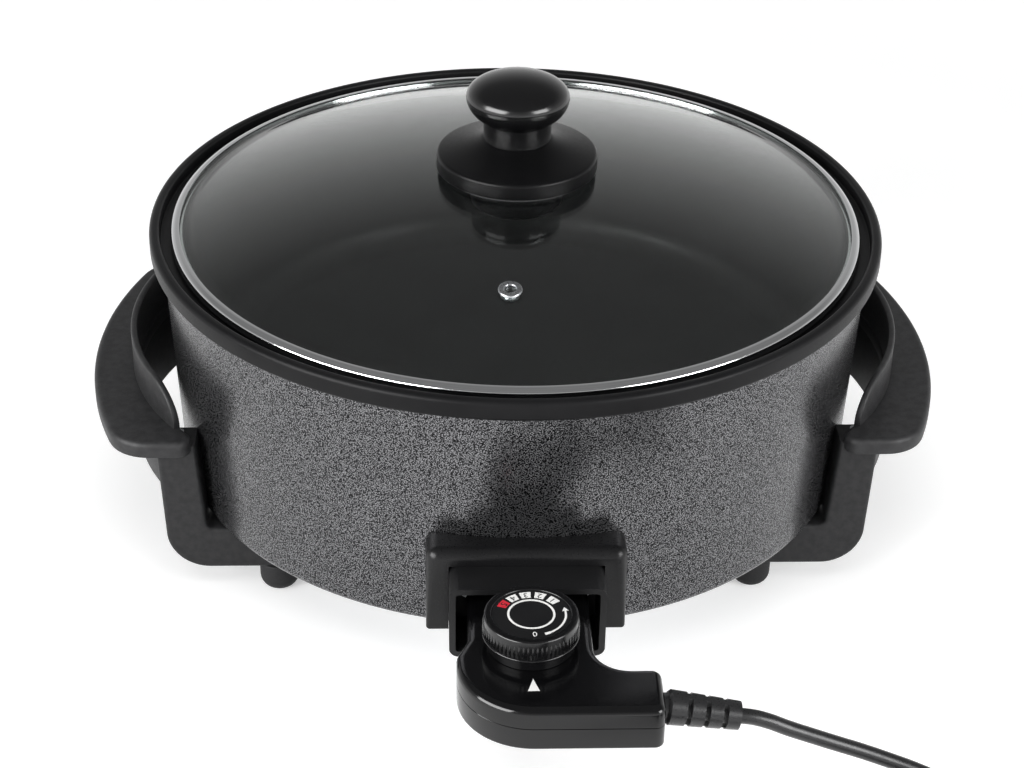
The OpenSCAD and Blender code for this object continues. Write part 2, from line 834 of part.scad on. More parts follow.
module leg_nuts() {
    color("silver")
        for (sx = [-1, 1], sy = [-1, 1])
            translate([sx * leg_screw_x, sy * feet_dy / 2, casing_z + casing_t])
                difference() {
                    cylinder(r = 2 * leg_screw_r, h = leg_nut_h, $fn = 6);
                    translate([0, 0, -eps])
                        cylinder(r = leg_screw_r + run_gap, h = leg_nut_h + 2 * eps);
                }
}

module feet() {
    color("#202021")
        at_legs() {
            cylinder(r1 = foot_r - foot_bevel, r2 = foot_r, h = foot_bevel);
            translate([0, 0, foot_bevel])
                cylinder(r = foot_r, h = foot_h - foot_bevel);
            translate([0, 0, foot_h - eps])
                cylinder(r = foot_stem_r, h = foot_stem_h + eps);
        }
}

// Lid

// Points along the dome's top from r0 to r1, lowered by drop
function dome_arc(r0, r1, drop, n = 24) =
    [for (i = [0:n]) let (r = r0 + (r1 - r0) * i / n) [r, dome_z(r) - drop]];

// Places its children on the dome at the vent, with Z square to the glass
module at_vent() {
    translate([0, 0, dome_top_z - dome_r])
        rotate([0, asin(vent_out / dome_r), vent_angle])
            translate([0, 0, dome_r])
                children();
}

module lid_glass() {
    hole_r = knob_screw_r + fit_gap;
    color("lightcyan", 0.35)
        difference() {
            rotate_extrude()
                polygon(concat(
                    dome_arc(hole_r, glass_flat_r, 0),
                    [[glass_r, glass_z + glass_t], [glass_r, glass_z]],
                    dome_arc(glass_flat_r, hole_r, glass_t)
                ));
            at_vent()
                translate([0, 0, -3 * glass_t])
                    cylinder(r = vent_r + eyelet_wall + run_gap, h = 6 * glass_t);
        }
}
module lid_ring() {
    top_z = lid_z + ring_h;
    out_round = 1.2;
    color("silver")
        rotate_extrude()
            polygon(concat(
                [[lid_r - lip_w - 1.5, lid_z]],
                arc([lid_r - out_round, lid_z + out_round], out_round, -90, 0, 4),
                arc([lid_r - out_round, top_z - out_round], out_round, 0, 90, 4),
                [[lid_r - lip_w, top_z], [lid_r - lip_w, top_z - ring_t]],
                [[lid_r - ring_t, top_z - ring_t], [lid_r - ring_t, lid_z + ring_t]],
                [[lid_r - lip_w - 1.5, lid_z + ring_t]]
            ));
}

module vent_eyelet() {
    tube_r = vent_r + eyelet_wall;
    low = glass_t + 0.35;
    color("silver")
        at_vent()
            difference() {
                union() {
                    translate([0, 0, -low])
                        cylinder(r = tube_r, h = low + eyelet_lip_t);
                    translate([0, 0, run_gap])
                        cylinder(r1 = eyelet_r, r2 = eyelet_r - 0.5, h = eyelet_lip_t);
                    translate([0, 0, -low - eyelet_lip_t])
                        cylinder(r = eyelet_r - 1, h = eyelet_lip_t);
                }
                translate([0, 0, -3 * glass_t])
                    cylinder(r = vent_r, h = 6 * glass_t);
            }
}

// Outline of the knob's grip: neck, flare, parting edge and crown
module knob_grip() {
    z0 = knob_z + knob_base_h;
    z1 = z0 + neck_h;
    z2 = knob_top_z - knob_crown_h;
    swell = (z2 - z1) / sqrt(1 - pow(neck_r / grip_knob_r, 2));
    flare = [for (i = [0:8]) let (t = 1 - i / 8)
        [grip_knob_r * sqrt(1 - pow(t * (z2 - z1) / swell, 2)), z2 - t * (z2 - z1)]];
    crown = [for (i = [1:8]) let (a = 90 * i / 8)
        [grip_knob_r * cos(a), z2 + knob_crown_h * sin(a)]];
    color("#161617")
        difference() {
            rotate_extrude()
                polygon(concat([[0, z0], [neck_r, z0]], flare, crown));
            translate([0, 0, z0 - eps])
                cylinder(r = knob_screw_r + run_gap, h = knob_bite + 2);
        }
}

module knob_base() {
    top_z = knob_z + knob_base_h;
    edge_z = knob_z + base_edge;
    edge_round = 2;
    slope = [for (i = [0:8]) let (t = i / 8)
        [base_r - edge_round - (base_r - edge_round - neck_r) * t, edge_z + (top_z - edge_z) * pow(t, 1.3)]];
    color("#161617")
        rotate_extrude()
            polygon(concat(
                [[knob_screw_r + fit_gap, knob_z], [base_r - 0.6, knob_z], [base_r, knob_z + 0.6]],
                arc([base_r - edge_round, edge_z - edge_round], edge_round, 0, 80, 5),
                slope,
                [[knob_screw_r + fit_gap, top_z]]
            ));
}

module knob_gasket() {
    color("#3a3a3a")
        rotate_extrude()
            polygon(concat(
                dome_arc(knob_screw_r + fit_gap, base_r - 3, -run_gap, 6),
                [[base_r - 3, knob_z], [knob_screw_r + fit_gap, knob_z]]
            ));
}

module knob_boss() {
    low_z = boss_top_z - boss_h;
    low_round = 3;
    color("#1d1d1e")
        difference() {
            rotate_extrude()
                polygon(concat(
                    [[knob_screw_r + fit_gap, low_z]],
                    arc([boss_r - low_round, low_z + low_round], low_round, -90, 0, 6),
                    dome_arc(boss_r, knob_screw_r + fit_gap, glass_t + run_gap, 6)
                ));
            translate([0, 0, low_z - eps])
                cylinder(r = knob_head_r + seat_gap, h = knob_head_h + 1);
        }
}

module knob_screw() {
    head_z = boss_top_z - boss_h + 1;
    color("silver")
        translate([0, 0, head_z]) {
            cylinder(r = knob_head_r, h = knob_head_h - eps);
            cylinder(r = knob_screw_r, h = knob_screw_len);
        }
}

// Heat control

// Corner points of the housing's neck and head, drawn in by inset
function neck_corners(inset) =
    let (x = neck_w / 2 - edge_r - inset)
    [[-x, ctl_back_y - edge_r - inset], [x, ctl_back_y - edge_r - inset],
        [x, ctl_front_y + arm_d], [-x, ctl_front_y + arm_d]];
function head_corners(inset) =
    let (
        left = -neck_w / 2 - head_over,
        in = edge_r + inset
    )
    concat(
        [[left + in, -dial_y - shoulder_y - in]],
        arc([left + corner_r, ctl_front_y + corner_r], corner_r - in, 180, 270, 6),
        [[arm_x - in, ctl_front_y + in], [arm_x - in, ctl_front_y + arm_d - in]]
    );

// Slope on the left where the neck widens into the head
shoulder_y = 4.6;
shoulder_len = 10.7;
function shoulder_corners() =
    let (
        left = -neck_w / 2 - head_over + edge_r,
        y = -dial_y - shoulder_y - edge_r
    )
    [[-neck_w / 2 + edge_r, y + shoulder_len], [left, y], [left, ctl_front_y + corner_r],
        [0, ctl_front_y + corner_r], [0, y + shoulder_len]];

// Slab over corner points, from the flat at z0 to a round edge at z1
module pad(corners, z0, z1, round) {
    up = z1 > z0 ? 1 : -1;
    steps = 4;
    hull($fn = 24)
        for (c = corners, i = [0:steps]) {
            a = 90 * i / steps;
            z = z1 - up * round * (1 - sin(a));
            translate([c[0], c[1], min(z0, z)])
                cylinder(r = max(edge_r - round * (1 - cos(a)), 0.1), h = abs(z - z0));
        }
}

// Hollow corner between neck and arm, with the same round edge
module hollow_corner(z0, z1, round) {
    up = z1 > z0 ? 1 : -1;
    profile = concat(
        [[hollow_r, z0]],
        arc([hollow_r + round, z1 - up * round], round, 180, 180 - up * 90, 4),
        [[1.42 * hollow_r + edge_r, z1], [1.42 * hollow_r + edge_r, z0]]
    );
    translate([neck_w / 2 + hollow_r, ctl_front_y + arm_d + hollow_r, 0])
        rotate([0, 0, 180])
            rotate_extrude(angle = 90)
                polygon(profile);
}

module housing_body(z0, z1, round) {
    pad(neck_corners(0), z0, z1, round);
    pad(head_corners(0), z0, z1, round);
    pad(shoulder_corners(), z0, z1, round);
    intersection() {
        hollow_corner(z0, z1, round);
        box([neck_w / 2 - 4, ctl_front_y + arm_d - 6, min(z0, z1)],
            [arm_x - 6, ctl_front_y + arm_d + hollow_r, max(z0, z1)]);
    }
}

// Hollow of one shell, from the seam to its wall
module housing_hollow(z0, z1) {
    low = min(z0, z1);
    high = max(z0, z1);
    wide = neck_w / 2 - ctl_wall;
    box([-wide, ctl_front_y + arm_d - 4, low], [wide, ctl_back_y - ctl_wall, high]);
    pad(head_corners(ctl_wall), z0, z1, 0.1);
}

// Holes through the housing's back wall and its right end
module housing_openings() {
    for (sx = [-1, 1])
        rod_y(sx * pin_pitch / 2, ctl_back_y + eps, seam_z, sleeve_r + fit_gap, ctl_wall + 1);
    rod_y(0, ctl_back_y + eps, seam_z, probe_r + fit_gap, ctl_wall + 1);
    translate([arm_x - 2 * ctl_wall, arm_y, seam_z])
        rotate([0, 90, 0])
            cylinder(r = relief_neck_r + fit_gap, h = 4 * ctl_wall);
}

housing_screw_at = [
    [-neck_w / 2 + ctl_wall + 3.2, -dial_y + 11], [neck_w / 2 - ctl_wall - 3.2, -dial_y + 11],
    [-8, ctl_front_y + 8],
];
screw_boss_r = 3;

module control_upper() {
    color("#121213")
        difference() {
            union() {
                difference() {
                    housing_body(seam_z, ctl_top_z, edge_r);
                    housing_hollow(seam_z - 1, ctl_top_z - ctl_wall);
                }
                for (p = housing_screw_at)
                    translate([p[0], p[1], seam_z])
                        cylinder(r = screw_boss_r, h = ctl_top_z - ctl_wall - seam_z + 0.5);
            }
            housing_openings();
            translate([0, -dial_y, seam_z])
                cylinder(r = spindle_r + run_gap, h = ctl_h);
            for (p = housing_screw_at)
                translate([p[0], p[1], seam_z - eps])
                    cylinder(r = ctl_screw_r + run_gap, h = 5);
        }
}

module control_lower() {
    rib_y = ctl_back_y - 15;
    color("#19191a")
        difference() {
            union() {
                difference() {
                    housing_body(seam_z, ctl_z, low_edge_r);
                    housing_hollow(seam_z + 1, ctl_z + ctl_wall);
                }
                for (p = housing_screw_at)
                    translate([p[0], p[1], ctl_z + ctl_wall - 0.5])
                        cylinder(r = screw_boss_r, h = seam_z - ctl_z - ctl_wall + 0.5);
                box([-neck_w / 2 + ctl_wall - 0.5, rib_y - 2, ctl_z + ctl_wall - 0.5],
                    [neck_w / 2 - ctl_wall + 0.5, rib_y, seam_z]);
            }
            housing_openings();
            for (sx = [-1, 1])
                rod_y(sx * pin_pitch / 2, rib_y + eps, seam_z, sleeve_r + fit_gap, 3);
            rod_y(0, rib_y + eps, seam_z, probe_r + fit_gap, 3);
            for (p = housing_screw_at)
                translate([p[0], p[1], ctl_z - eps]) {
                    cylinder(r = ctl_screw_r + fit_gap, h = ctl_h);
                    cylinder(r = 2 * ctl_screw_r + fit_gap, h = 3);
                }
        }
}

module sensor_probe() {
    tip = 2;
    len = probe_len + 24.3;
    color("silver")
        translate([0, ctl_back_y + probe_len, seam_z])
            rotate([90, 0, 0]) {
                cylinder(r1 = probe_r - 1, r2 = probe_r, h = tip);
                translate([0, 0, tip])
                    cylinder(r = probe_r, h = len - tip);
            }
}

module contact_sleeves() {
    color("gold")
        for (sx = [-1, 1])
            difference() {
                rod_y(sx * pin_pitch / 2, sleeve_front_y, seam_z, sleeve_r, sleeve_len);
                rod_y(sx * pin_pitch / 2, sleeve_front_y + eps, seam_z, pin_r + run_gap, sleeve_len - 1.5);
            }
}

// Spring clip round the probe with a tab on the housing's floor
module earth_contact() {
    clip_y = ctl_back_y - 6;
    clip_len = 6;
    wall = 0.9;
    color("peru")
        difference() {
            union() {
                rod_y(0, clip_y, seam_z, probe_r + run_gap + wall, clip_len);
                box([-2, clip_y - clip_len, ctl_z + ctl_wall], [2, clip_y, seam_z - probe_r]);
            }
            rod_y(0, clip_y + eps, seam_z, probe_r + run_gap, clip_len + 2 * eps);
        }
}

// Ceramic base with a rear post for the blade and a front post for the contact arm
thermo_y = ctl_back_y - 24.3;
thermo_floor_z = ctl_z + ctl_wall;
blade_z = seam_z + probe_r + 0.3;
blade_t = 0.8;
arm_gap = 2.4;
module thermostat_base() {
    front_y = -dial_y - 8;
    color("ivory") {
        box([-14, front_y, thermo_floor_z], [14, thermo_y, thermo_floor_z + 3]);
        box([-5, thermo_y - 3, thermo_floor_z + 3 - eps], [5, thermo_y, blade_z]);
        box([-5, front_y, thermo_floor_z + 3 - eps], [5, front_y + 3, blade_z - arm_gap]);
    }
}

module bimetal_blade() {
    color("goldenrod")
        box([-3, -dial_y - 4, blade_z], [3, thermo_y, blade_z + blade_t]);
}

module contact_arm() {
    color("darkgoldenrod") {
        box([-2.5, -dial_y - 8, blade_z - arm_gap], [2.5, -dial_y + 9, blade_z - arm_gap + blade_t]);
        translate([0, -dial_y + 6.5, blade_z - arm_gap + blade_t - eps])
            cylinder(r = 1.5, h = arm_gap - blade_t - run_gap);
    }
}

module housing_screws() {
    color("silver")
        for (p = housing_screw_at)
            translate([p[0], p[1], ctl_z + 1]) {
                cylinder(r = 2 * ctl_screw_r, h = 2 - eps);
                cylinder(r = ctl_screw_r, h = seam_z - ctl_z - 1 + 4.5);
            }
}

relief_sheath_r = cord_r + 1.2;
module cord_clamp() {
    color("#444444")
        difference() {
            box([arm_x - 18, arm_y - 7, thermo_floor_z], [arm_x - 10, arm_y + 7, seam_z - 1]);
            translate([arm_x - 18 - eps, arm_y, seam_z])
                rotate([0, 90, 0])
                    cylinder(r = relief_sheath_r + run_gap, h = 8 + 2 * eps);
        }
}

// Tapered sleeve with two rows of notches, held in the end wall by its collar
module strain_relief() {
    slot_w = 2;
    web = 3;
    color("#1a1a1b") {
        translate([0, arm_y, seam_z])
            rotate([0, 90, 0]) {
                translate([0, 0, arm_x - 19])
                    cylinder(r = relief_sheath_r, h = 19);
                translate([0, 0, arm_x - ctl_wall - 2.3])
                    cylinder(r = relief_r - 0.7, h = 2);
                translate([0, 0, arm_x - ctl_wall - 1])
                    cylinder(r = relief_neck_r, h = ctl_wall + 4);
            }
        difference() {
            translate([relief_start, arm_y, seam_z])
                rotate([0, 90 + relief_tilt, 0]) {
                    cylinder(r1 = relief_r - 0.8, r2 = relief_r, h = 1);
                    translate([0, 0, 1])
                        cylinder(r1 = relief_r, r2 = relief_end_r, h = relief_len - 1);
                }
            translate([relief_start, arm_y, seam_z])
                rotate([0, 90 + relief_tilt, 0])
                    for (row = [1, 2, 3], side = [-1, 1]) {
                        translate([-relief_r, side < 0 ? -2 * relief_r - web / 2 : web / 2, row * relief_len / 4])
                            difference() {
                                cube([2 * relief_r, 2 * relief_r, slot_w]);
                                translate([relief_r, side < 0 ? 2 * relief_r + web / 2 : -web / 2, -eps])
                                    cylinder(r = cord_r + 0.6, h = slot_w + 2 * eps);
                            }
                    }
        }
    }
}

// Dial

module dial_knob() {
    rim = [for (i = [0:2 * flutes - 1])
        let (a = 180 * i / flutes, r = dial_r - (i % 2) * flute_depth) [r * cos(a), r * sin(a)]];
    recess_z = dial_top_z - dial_face_t - dial_face_drop;
    color("#151516")
        translate([0, -dial_y, 0])
            difference() {
                union() {
                    translate([0, 0, dial_base_z])
                        cylinder(r = dial_step_r, h = step_h + eps);
                    translate([0, 0, dial_low_z])
                        linear_extrude(dial_h - 1)
                            polygon(rim);
                    translate([0, 0, dial_top_z - 1 - eps])
                        cylinder(r1 = dial_r - flute_depth, r2 = dial_r - flute_depth - 0.8, h = 1 + eps);
                }
                translate([0, 0, recess_z])
                    cylinder(r = dial_face_r, h = dial_h);
                translate([0, 0, dial_base_z - eps])
                    cylinder(r = spindle_r + run_gap, h = recess_z - dial_base_z - 2);
            }
}

module dial_face() {
    color("#0f0f10")
        translate([0, -dial_y, dial_top_z - dial_face_t - dial_face_drop])
            cylinder(r = dial_face_r - fit_gap, h = dial_face_t);
}

module dial_spindle() {
    low_z = blade_z + blade_t + seat_gap;
    color("silver")
        translate([0, -dial_y, low_z])
            cylinder(r = spindle_r, h = dial_top_z - dial_face_t - dial_face_drop - 2.2 - low_z);
}

// Cord

function unit(v) = v / norm(v);

// Directions along a path, straight at both ends
function tangents(p) = [for (i = [0:len(p) - 1]) unit(p[min(i + 1, len(p) - 1)] - p[max(i - 1, 0)])];

// Tube swept along a path as one closed polyhedron of triangles
module tube(path, r, sides) {
    t = tangents(path);
    n = len(path);
    pts = [for (i = [0:n - 1])
        let (u = unit(cross(t[i], [0, 0, 1])), v = cross(u, t[i]))
        for (k = [0:sides - 1])
            path[i] + r * (cos(360 * k / sides) * u + sin(360 * k / sides) * v)];
    walls = [for (i = [0:n - 2], k = [0:sides - 1])
        let (a = i * sides + k, b = i * sides + (k + 1) % sides)
        each [[a, b, a + sides], [b, b + sides, a + sides]]];
    ends = [for (k = [1:sides - 2])
        each [[0, k + 1, k], [(n - 1) * sides, (n - 1) * sides + k, (n - 1) * sides + k + 1]]];
    polyhedron(points = pts, faces = concat(walls, ends));
}

// Middle line of the coil: in, up a layer where the spiral turns back, and out again
coil_turn = coil_in_turns + 0.25;
coil_turns = coil_in_turns + 0.5 + coil_out_turns;
function coil_at(t) =
    let (
        r = coil_r - coil_pitch * (t < coil_turn ? t : 2 * coil_turn - t),
        rise = (1 - cos(180 * min(max((t - coil_in_turns) / 0.5, 0), 1))) / 2
    )
    [coil_x + r * cos(360 * t), coil_y - r * sin(360 * t), coil_z + coil_pitch * rise];
coil_start = coil_at(0) + [0, cord_d, 0];
coil_end = coil_at(coil_turns) - [cord_d, 0, 0];
coil_path = concat(
    [coil_start],
    [for (i = [0:coil_turns * coil_steps]) coil_at(i / coil_steps)],
    [coil_end]
);
// Least gap between stretches of the coil that are half a turn or more apart
coil_gap = min([for (i = [0:len(coil_path) - 1], j = [i + coil_steps / 2:len(coil_path) - 1])
    norm(coil_path[i] - coil_path[j])]) - cord_d;
echo(coil_gap = coil_gap);

run_path = concat(
    [run_start, run_start + cord_d * relief_dir],
    [for (p = cord_fall) [run_start[0] + p[0], run_start[1] + p[1], coil_z + p[2] * (run_start[2] - coil_z)]],
    [coil_start + [0, cord_d, 0], coil_start]
);
plug_end = [plug_x + plug_len + plug_neck, coil_end[1], plug_axis_z];
tail_path = concat(
    [coil_end, coil_end - [cord_d, 0, 0]],
    [for (p = tail_rise) [coil_end[0] - p[0], coil_end[1], coil_end[2] + p[1] * (plug_axis_z - coil_end[2])]],
    [plug_end + [cord_d, 0, 0], plug_end]
);

module cord_run() {
    color("#141414")
        tube(run_path, cord_r, run_sides);
}

module cord_coil() {
    color("#141414")
        tube(coil_path, cord_r, coil_sides);
}

module cord_tail() {
    color("#141414")
        tube(tail_path, cord_r, run_sides);
}

// Band round the turns, across the coil's rear left
module cord_tie() {
    a = 0.625;
    r_out = coil_r - coil_pitch * a + cord_r + seat_gap;
    r_in = coil_r - coil_pitch * (2 * coil_turn - coil_in_turns - a) - cord_r - seat_gap;
    z_low = coil_z - cord_r - seat_gap;
    z_high = coil_z + coil_pitch + cord_r + seat_gap;
    color("#222222")
        translate([coil_x, coil_y, 0])
            rotate([90, 0, -360 * a])
                translate([0, 0, -tie_w / 2])
                    linear_extrude(tie_w)
                        difference() {
                            translate([r_in - tie_t, z_low - tie_t])
                                square([r_out - r_in + 2 * tie_t, z_high - z_low + 2 * tie_t]);
                            translate([r_in, z_low])
                                square([r_out - r_in, z_high - z_low]);
                        }
}

// Mains plug lying on its side, pins towards -X
module along_plug() {
    translate([plug_x, coil_end[1], plug_axis_z])
        rotate([0, 90, 0])
            children();
}

module plug_body() {
    shoulder = 12;
    color("#181818")
        along_plug()
            difference() {
                rotate_extrude()
                    polygon(concat(
                        [[0, 0], [plug_r - 1, 0], [plug_r, 1], [plug_r, plug_len - shoulder]],
                        arc([plug_r - shoulder, plug_len - shoulder], shoulder, 15, 75, 6),
                        [[plug_neck_r + 0.8, plug_len], [plug_neck_r, plug_len + plug_neck],
                            [0, plug_len + plug_neck]]
                    ));
                for (s = [-1, 1])
                    translate([s * plug_r - 2.5, -clip_w / 2 - fit_gap, -eps])
                        cube([5, clip_w + 2 * fit_gap, clip_len + fit_gap]);
                for (s = [-1, 1])
                    translate([0, s * plug_pin_pitch / 2, -eps])
                        cylinder(r = plug_root_r + run_gap, h = plug_root_len + fit_gap);
            }
}

module plug_pins() {
    color("silver")
        along_plug()
            for (s = [-1, 1])
                translate([0, s * plug_pin_pitch / 2, -plug_pin_len]) {
                    cylinder(r1 = plug_pin_r - 0.8, r2 = plug_pin_r, h = 1);
                    translate([0, 0, 1])
                        cylinder(r = plug_pin_r, h = plug_pin_len - 1);
                    cylinder(r = plug_root_r, h = plug_pin_len + plug_root_len);
                }
}

module plug_earth_clips() {
    color("silver")
        along_plug()
            for (s = [-1, 1])
                translate([s * (plug_r - 2.5) + (s < 0 ? -clip_t : 0), -clip_w / 2, 0])
                    cube([clip_t, clip_w, clip_len]);
}

outer_casing();
inner_pan();
pan_studs();
base_plate();
base_nuts();
heating_element();
terminal_pins();
terminal_block();
probe_guide();
earth_strip();
socket_frame();
socket_collar();
socket_screws();
left_handle();
right_handle();
front_left_leg();
rear_left_leg();
front_right_leg();
rear_right_leg();
handle_screws();
leg_screws();
leg_nuts();
feet();
lid_glass();
lid_ring();
vent_eyelet();
knob_grip();
knob_base();
knob_gasket();
knob_boss();
knob_screw();
control_upper();
control_lower();
sensor_probe();
contact_sleeves();
earth_contact();
thermostat_base();
bimetal_blade();
contact_arm();
housing_screws();
cord_clamp();
strain_relief();
cord_run();
cord_coil();
cord_tail();
cord_tie();
plug_body();
plug_pins();
plug_earth_clips();
dial_knob();
dial_face();
dial_spindle();
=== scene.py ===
import math

import bmesh
import bpy
from mathutils import Matrix, Vector


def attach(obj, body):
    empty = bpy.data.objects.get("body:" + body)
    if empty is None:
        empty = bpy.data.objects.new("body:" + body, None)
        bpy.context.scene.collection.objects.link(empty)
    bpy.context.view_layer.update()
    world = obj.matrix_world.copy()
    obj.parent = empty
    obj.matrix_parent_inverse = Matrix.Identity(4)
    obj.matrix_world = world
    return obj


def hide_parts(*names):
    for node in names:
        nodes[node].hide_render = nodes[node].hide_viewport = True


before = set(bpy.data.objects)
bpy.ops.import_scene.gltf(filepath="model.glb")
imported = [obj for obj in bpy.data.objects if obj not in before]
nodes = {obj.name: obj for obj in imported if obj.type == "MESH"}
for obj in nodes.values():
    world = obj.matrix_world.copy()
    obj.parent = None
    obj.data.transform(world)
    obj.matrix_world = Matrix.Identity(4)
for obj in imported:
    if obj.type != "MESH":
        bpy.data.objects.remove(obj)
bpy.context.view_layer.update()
scene = bpy.context.scene
mm = 0.001
print("frame loaded:", len(nodes), "nodes")


# shapes in millimetres, turned into metres as the vertices are made
def arcPoints(cx, cy, r, a0, a1, n=8):
    turns = [math.radians(a0 + (a1 - a0) * i / n) for i in range(n + 1)]
    return [(cx + r * math.cos(t), cy + r * math.sin(t)) for t in turns]


def latheMesh(profile, around=192):
    bm = bmesh.new()
    rings = []
    for r, z in profile:
        if r < 1e-6:
            rings.append([bm.verts.new((0, 0, z * mm))])
            continue
        turns = [2 * math.pi * i / around for i in range(around)]
        rings.append([bm.verts.new((r * mm * math.cos(t), r * mm * math.sin(t), z * mm)) for t in turns])
    for a, b in zip(rings, rings[1:] + rings[:1]):
        if len(a) == 1 and len(b) == 1:
            continue
        for i in range(around):
            j = (i + 1) % around
            if len(a) == 1:
                bm.faces.new((a[0], b[i], b[j]))
            elif len(b) == 1:
                bm.faces.new((a[i], b[0], a[j]))
            else:
                bm.faces.new((a[i], b[i], b[j], a[j]))
    bmesh.ops.recalc_face_normals(bm, faces=bm.faces)
    return bm


def loftMesh(loops):
    bm = bmesh.new()
    rows = [[bm.verts.new(Vector(p) * mm) for p in loop] for loop in loops]
    for a, b in zip(rows, rows[1:]):
        for i in range(len(a)):
            j = (i + 1) % len(a)
            bm.faces.new((a[i], a[j], b[j], b[i]))
    bm.faces.new(rows[0][::-1])
    bm.faces.new(rows[-1])
    bmesh.ops.recalc_face_normals(bm, faces=bm.faces)
    return bm


def drawIn(outline, d):
    # counter-clockwise outline moved inwards by d along its corner bisectors
    moved = []
    for i, p in enumerate(outline):
        a = outline[i - 1]
        b = outline[(i + 1) % len(outline)]
        u = Vector((p[0] - a[0], p[1] - a[1])).normalized()
        v = Vector((b[0] - p[0], b[1] - p[1])).normalized()
        side = Vector((-u.y - v.y, u.x + v.x)).normalized()
        k = d / max(side.dot(Vector((-u.y, u.x))), 0.5)
        moved.append((p[0] + side.x * k, p[1] + side.y * k))
    return moved


def slabLoops(outline, z0, z1, lowRound, topRound, steps=5, hold=0.5):
    # loops from the underside to the top with both edges rounded, and a holding loop on each flat
    levels = [(lowRound + hold, z0)]
    for i in range(steps + 1):
        a = math.pi / 2 * i / steps
        levels.append((lowRound * (1 - math.sin(a)), z0 + lowRound * (1 - math.cos(a))))
    for i in range(steps + 1):
        a = math.pi / 2 * i / steps
        levels.append((topRound * (1 - math.cos(a)), z1 - topRound * (1 - math.sin(a))))
    levels.append((topRound + hold, z1))
    return [[(x, y, z) for x, y in drawIn(outline, d)] for d, z in levels]


def joinMeshes(*parts):
    # several bmeshes as one
    whole = bmesh.new()
    for bm in parts:
        mesh = bpy.data.meshes.new("part")
        bm.to_mesh(mesh)
        bm.free()
        whole.from_mesh(mesh)
        bpy.data.meshes.remove(mesh)
    return whole


def turnMesh(bm, matrix):
    bmesh.ops.transform(bm, matrix=matrix, verts=bm.verts)
    if matrix.determinant() < 0:
        bmesh.ops.reverse_faces(bm, faces=bm.faces)
    return bm


def softenEdges(bm, sharp):
    for face in bm.faces:
        face.smooth = True
    for edge in bm.edges:
        edge.smooth = len(edge.link_faces) != 2 or edge.calc_face_angle(0) < math.radians(sharp)


def makePiece(name, bm, finish, body, stands=(), sharp=32):
    softenEdges(bm, sharp)
    mesh = bpy.data.meshes.new(name)
    bm.to_mesh(mesh)
    bm.free()
    mesh.materials.append(finish)
    piece = bpy.data.objects.new(name, mesh)
    scene.collection.objects.link(piece)
    return settle(piece, body, stands)


def settle(piece, body, stands=()):
    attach(piece, body)
    if stands:
        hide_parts(*stands)
    return piece


def nodeCopy(node):
    bm = bmesh.new()
    bm.from_mesh(nodes[node].data)
    bmesh.ops.remove_doubles(bm, verts=bm.verts, dist=2e-6)
    return bm


# finishes
def tone(code):
    parts = [int(code[i:i + 2], 16) / 255 for i in (0, 2, 4)]
    return [c / 12.92 if c <= 0.04045 else ((c + 0.055) / 1.055) ** 2.4 for c in parts] + [1]


def plug(tree, socket, value):
    # a link from another socket, or a plain value
    if isinstance(value, bpy.types.NodeSocket):
        tree.links.new(value, socket)
    else:
        socket.default_value = value


def feed(tree, node, **sockets):
    for key, value in sockets.items():
        plug(tree, node.inputs[key.replace("_", " ")], value)
    return node


def addNode(tree, kind, settings=None, **sockets):
    node = tree.nodes.new(kind)
    for key, value in (settings or {}).items():
        setattr(node, key, value)
    return feed(tree, node, **sockets)


def addMath(tree, operation, a, b):
    node = addNode(tree, "ShaderNodeMath", {"operation": operation})
    plug(tree, node.inputs[0], a)
    plug(tree, node.inputs[1], b)
    return node.outputs["Value"]


def addLength(tree, vector):
    return addNode(tree, "ShaderNodeVectorMath", {"operation": "LENGTH"}, Vector=vector).outputs["Value"]


def addRange(tree, value, **ends):
    return addNode(tree, "ShaderNodeMapRange", Value=value, **ends).outputs["Result"]


def addRamp(tree, value, low, high, *between):
    ramp = addNode(tree, "ShaderNodeValToRGB", Fac=value)
    steps = ramp.color_ramp.elements
    for i, (at, code) in enumerate((low, high)):
        steps[i].position = at
        steps[i].color = tone(code)
    for at, code in between:
        steps.new(at).color = tone(code)
    return ramp.outputs["Color"]


def startFinish(name):
    finish = bpy.data.materials.new(name)
    finish.use_nodes = True
    tree = finish.node_tree
    return finish, tree, tree.nodes["Principled BSDF"], addNode(tree, "ShaderNodeTexCoord").outputs["Object"]


grainDepth = 0.05


def newFinish(name, look):
    # two close tones in soft clouds, a fine grain in the gloss and in the surface
    finish, tree, shader, place = startFinish(name)
    clouds = addNode(tree, "ShaderNodeTexNoise", Vector=place, Scale=look.get("clouds", 30), Detail=3.0)
    colour = addRamp(tree, clouds.outputs["Fac"], (0.35, look["dark"]), (0.65, look["light"]))
    grain = addNode(tree, "ShaderNodeTexNoise", Vector=place, Scale=look["grain"], Detail=2.0).outputs["Fac"]
    low, high = look["rough"]
    gloss = addRange(tree, grain, From_Min=0.3, From_Max=0.7, To_Min=low, To_Max=high)
    bump = addNode(tree, "ShaderNodeBump", Height=grain, Strength=look["bump"], Distance=grainDepth * mm)
    feed(tree, shader, Base_Color=colour, Roughness=gloss, Normal=bump.outputs["Normal"],
         Metallic=look.get("metal", 0), Specular_IOR_Level=look.get("spec", 0.5))
    return finish


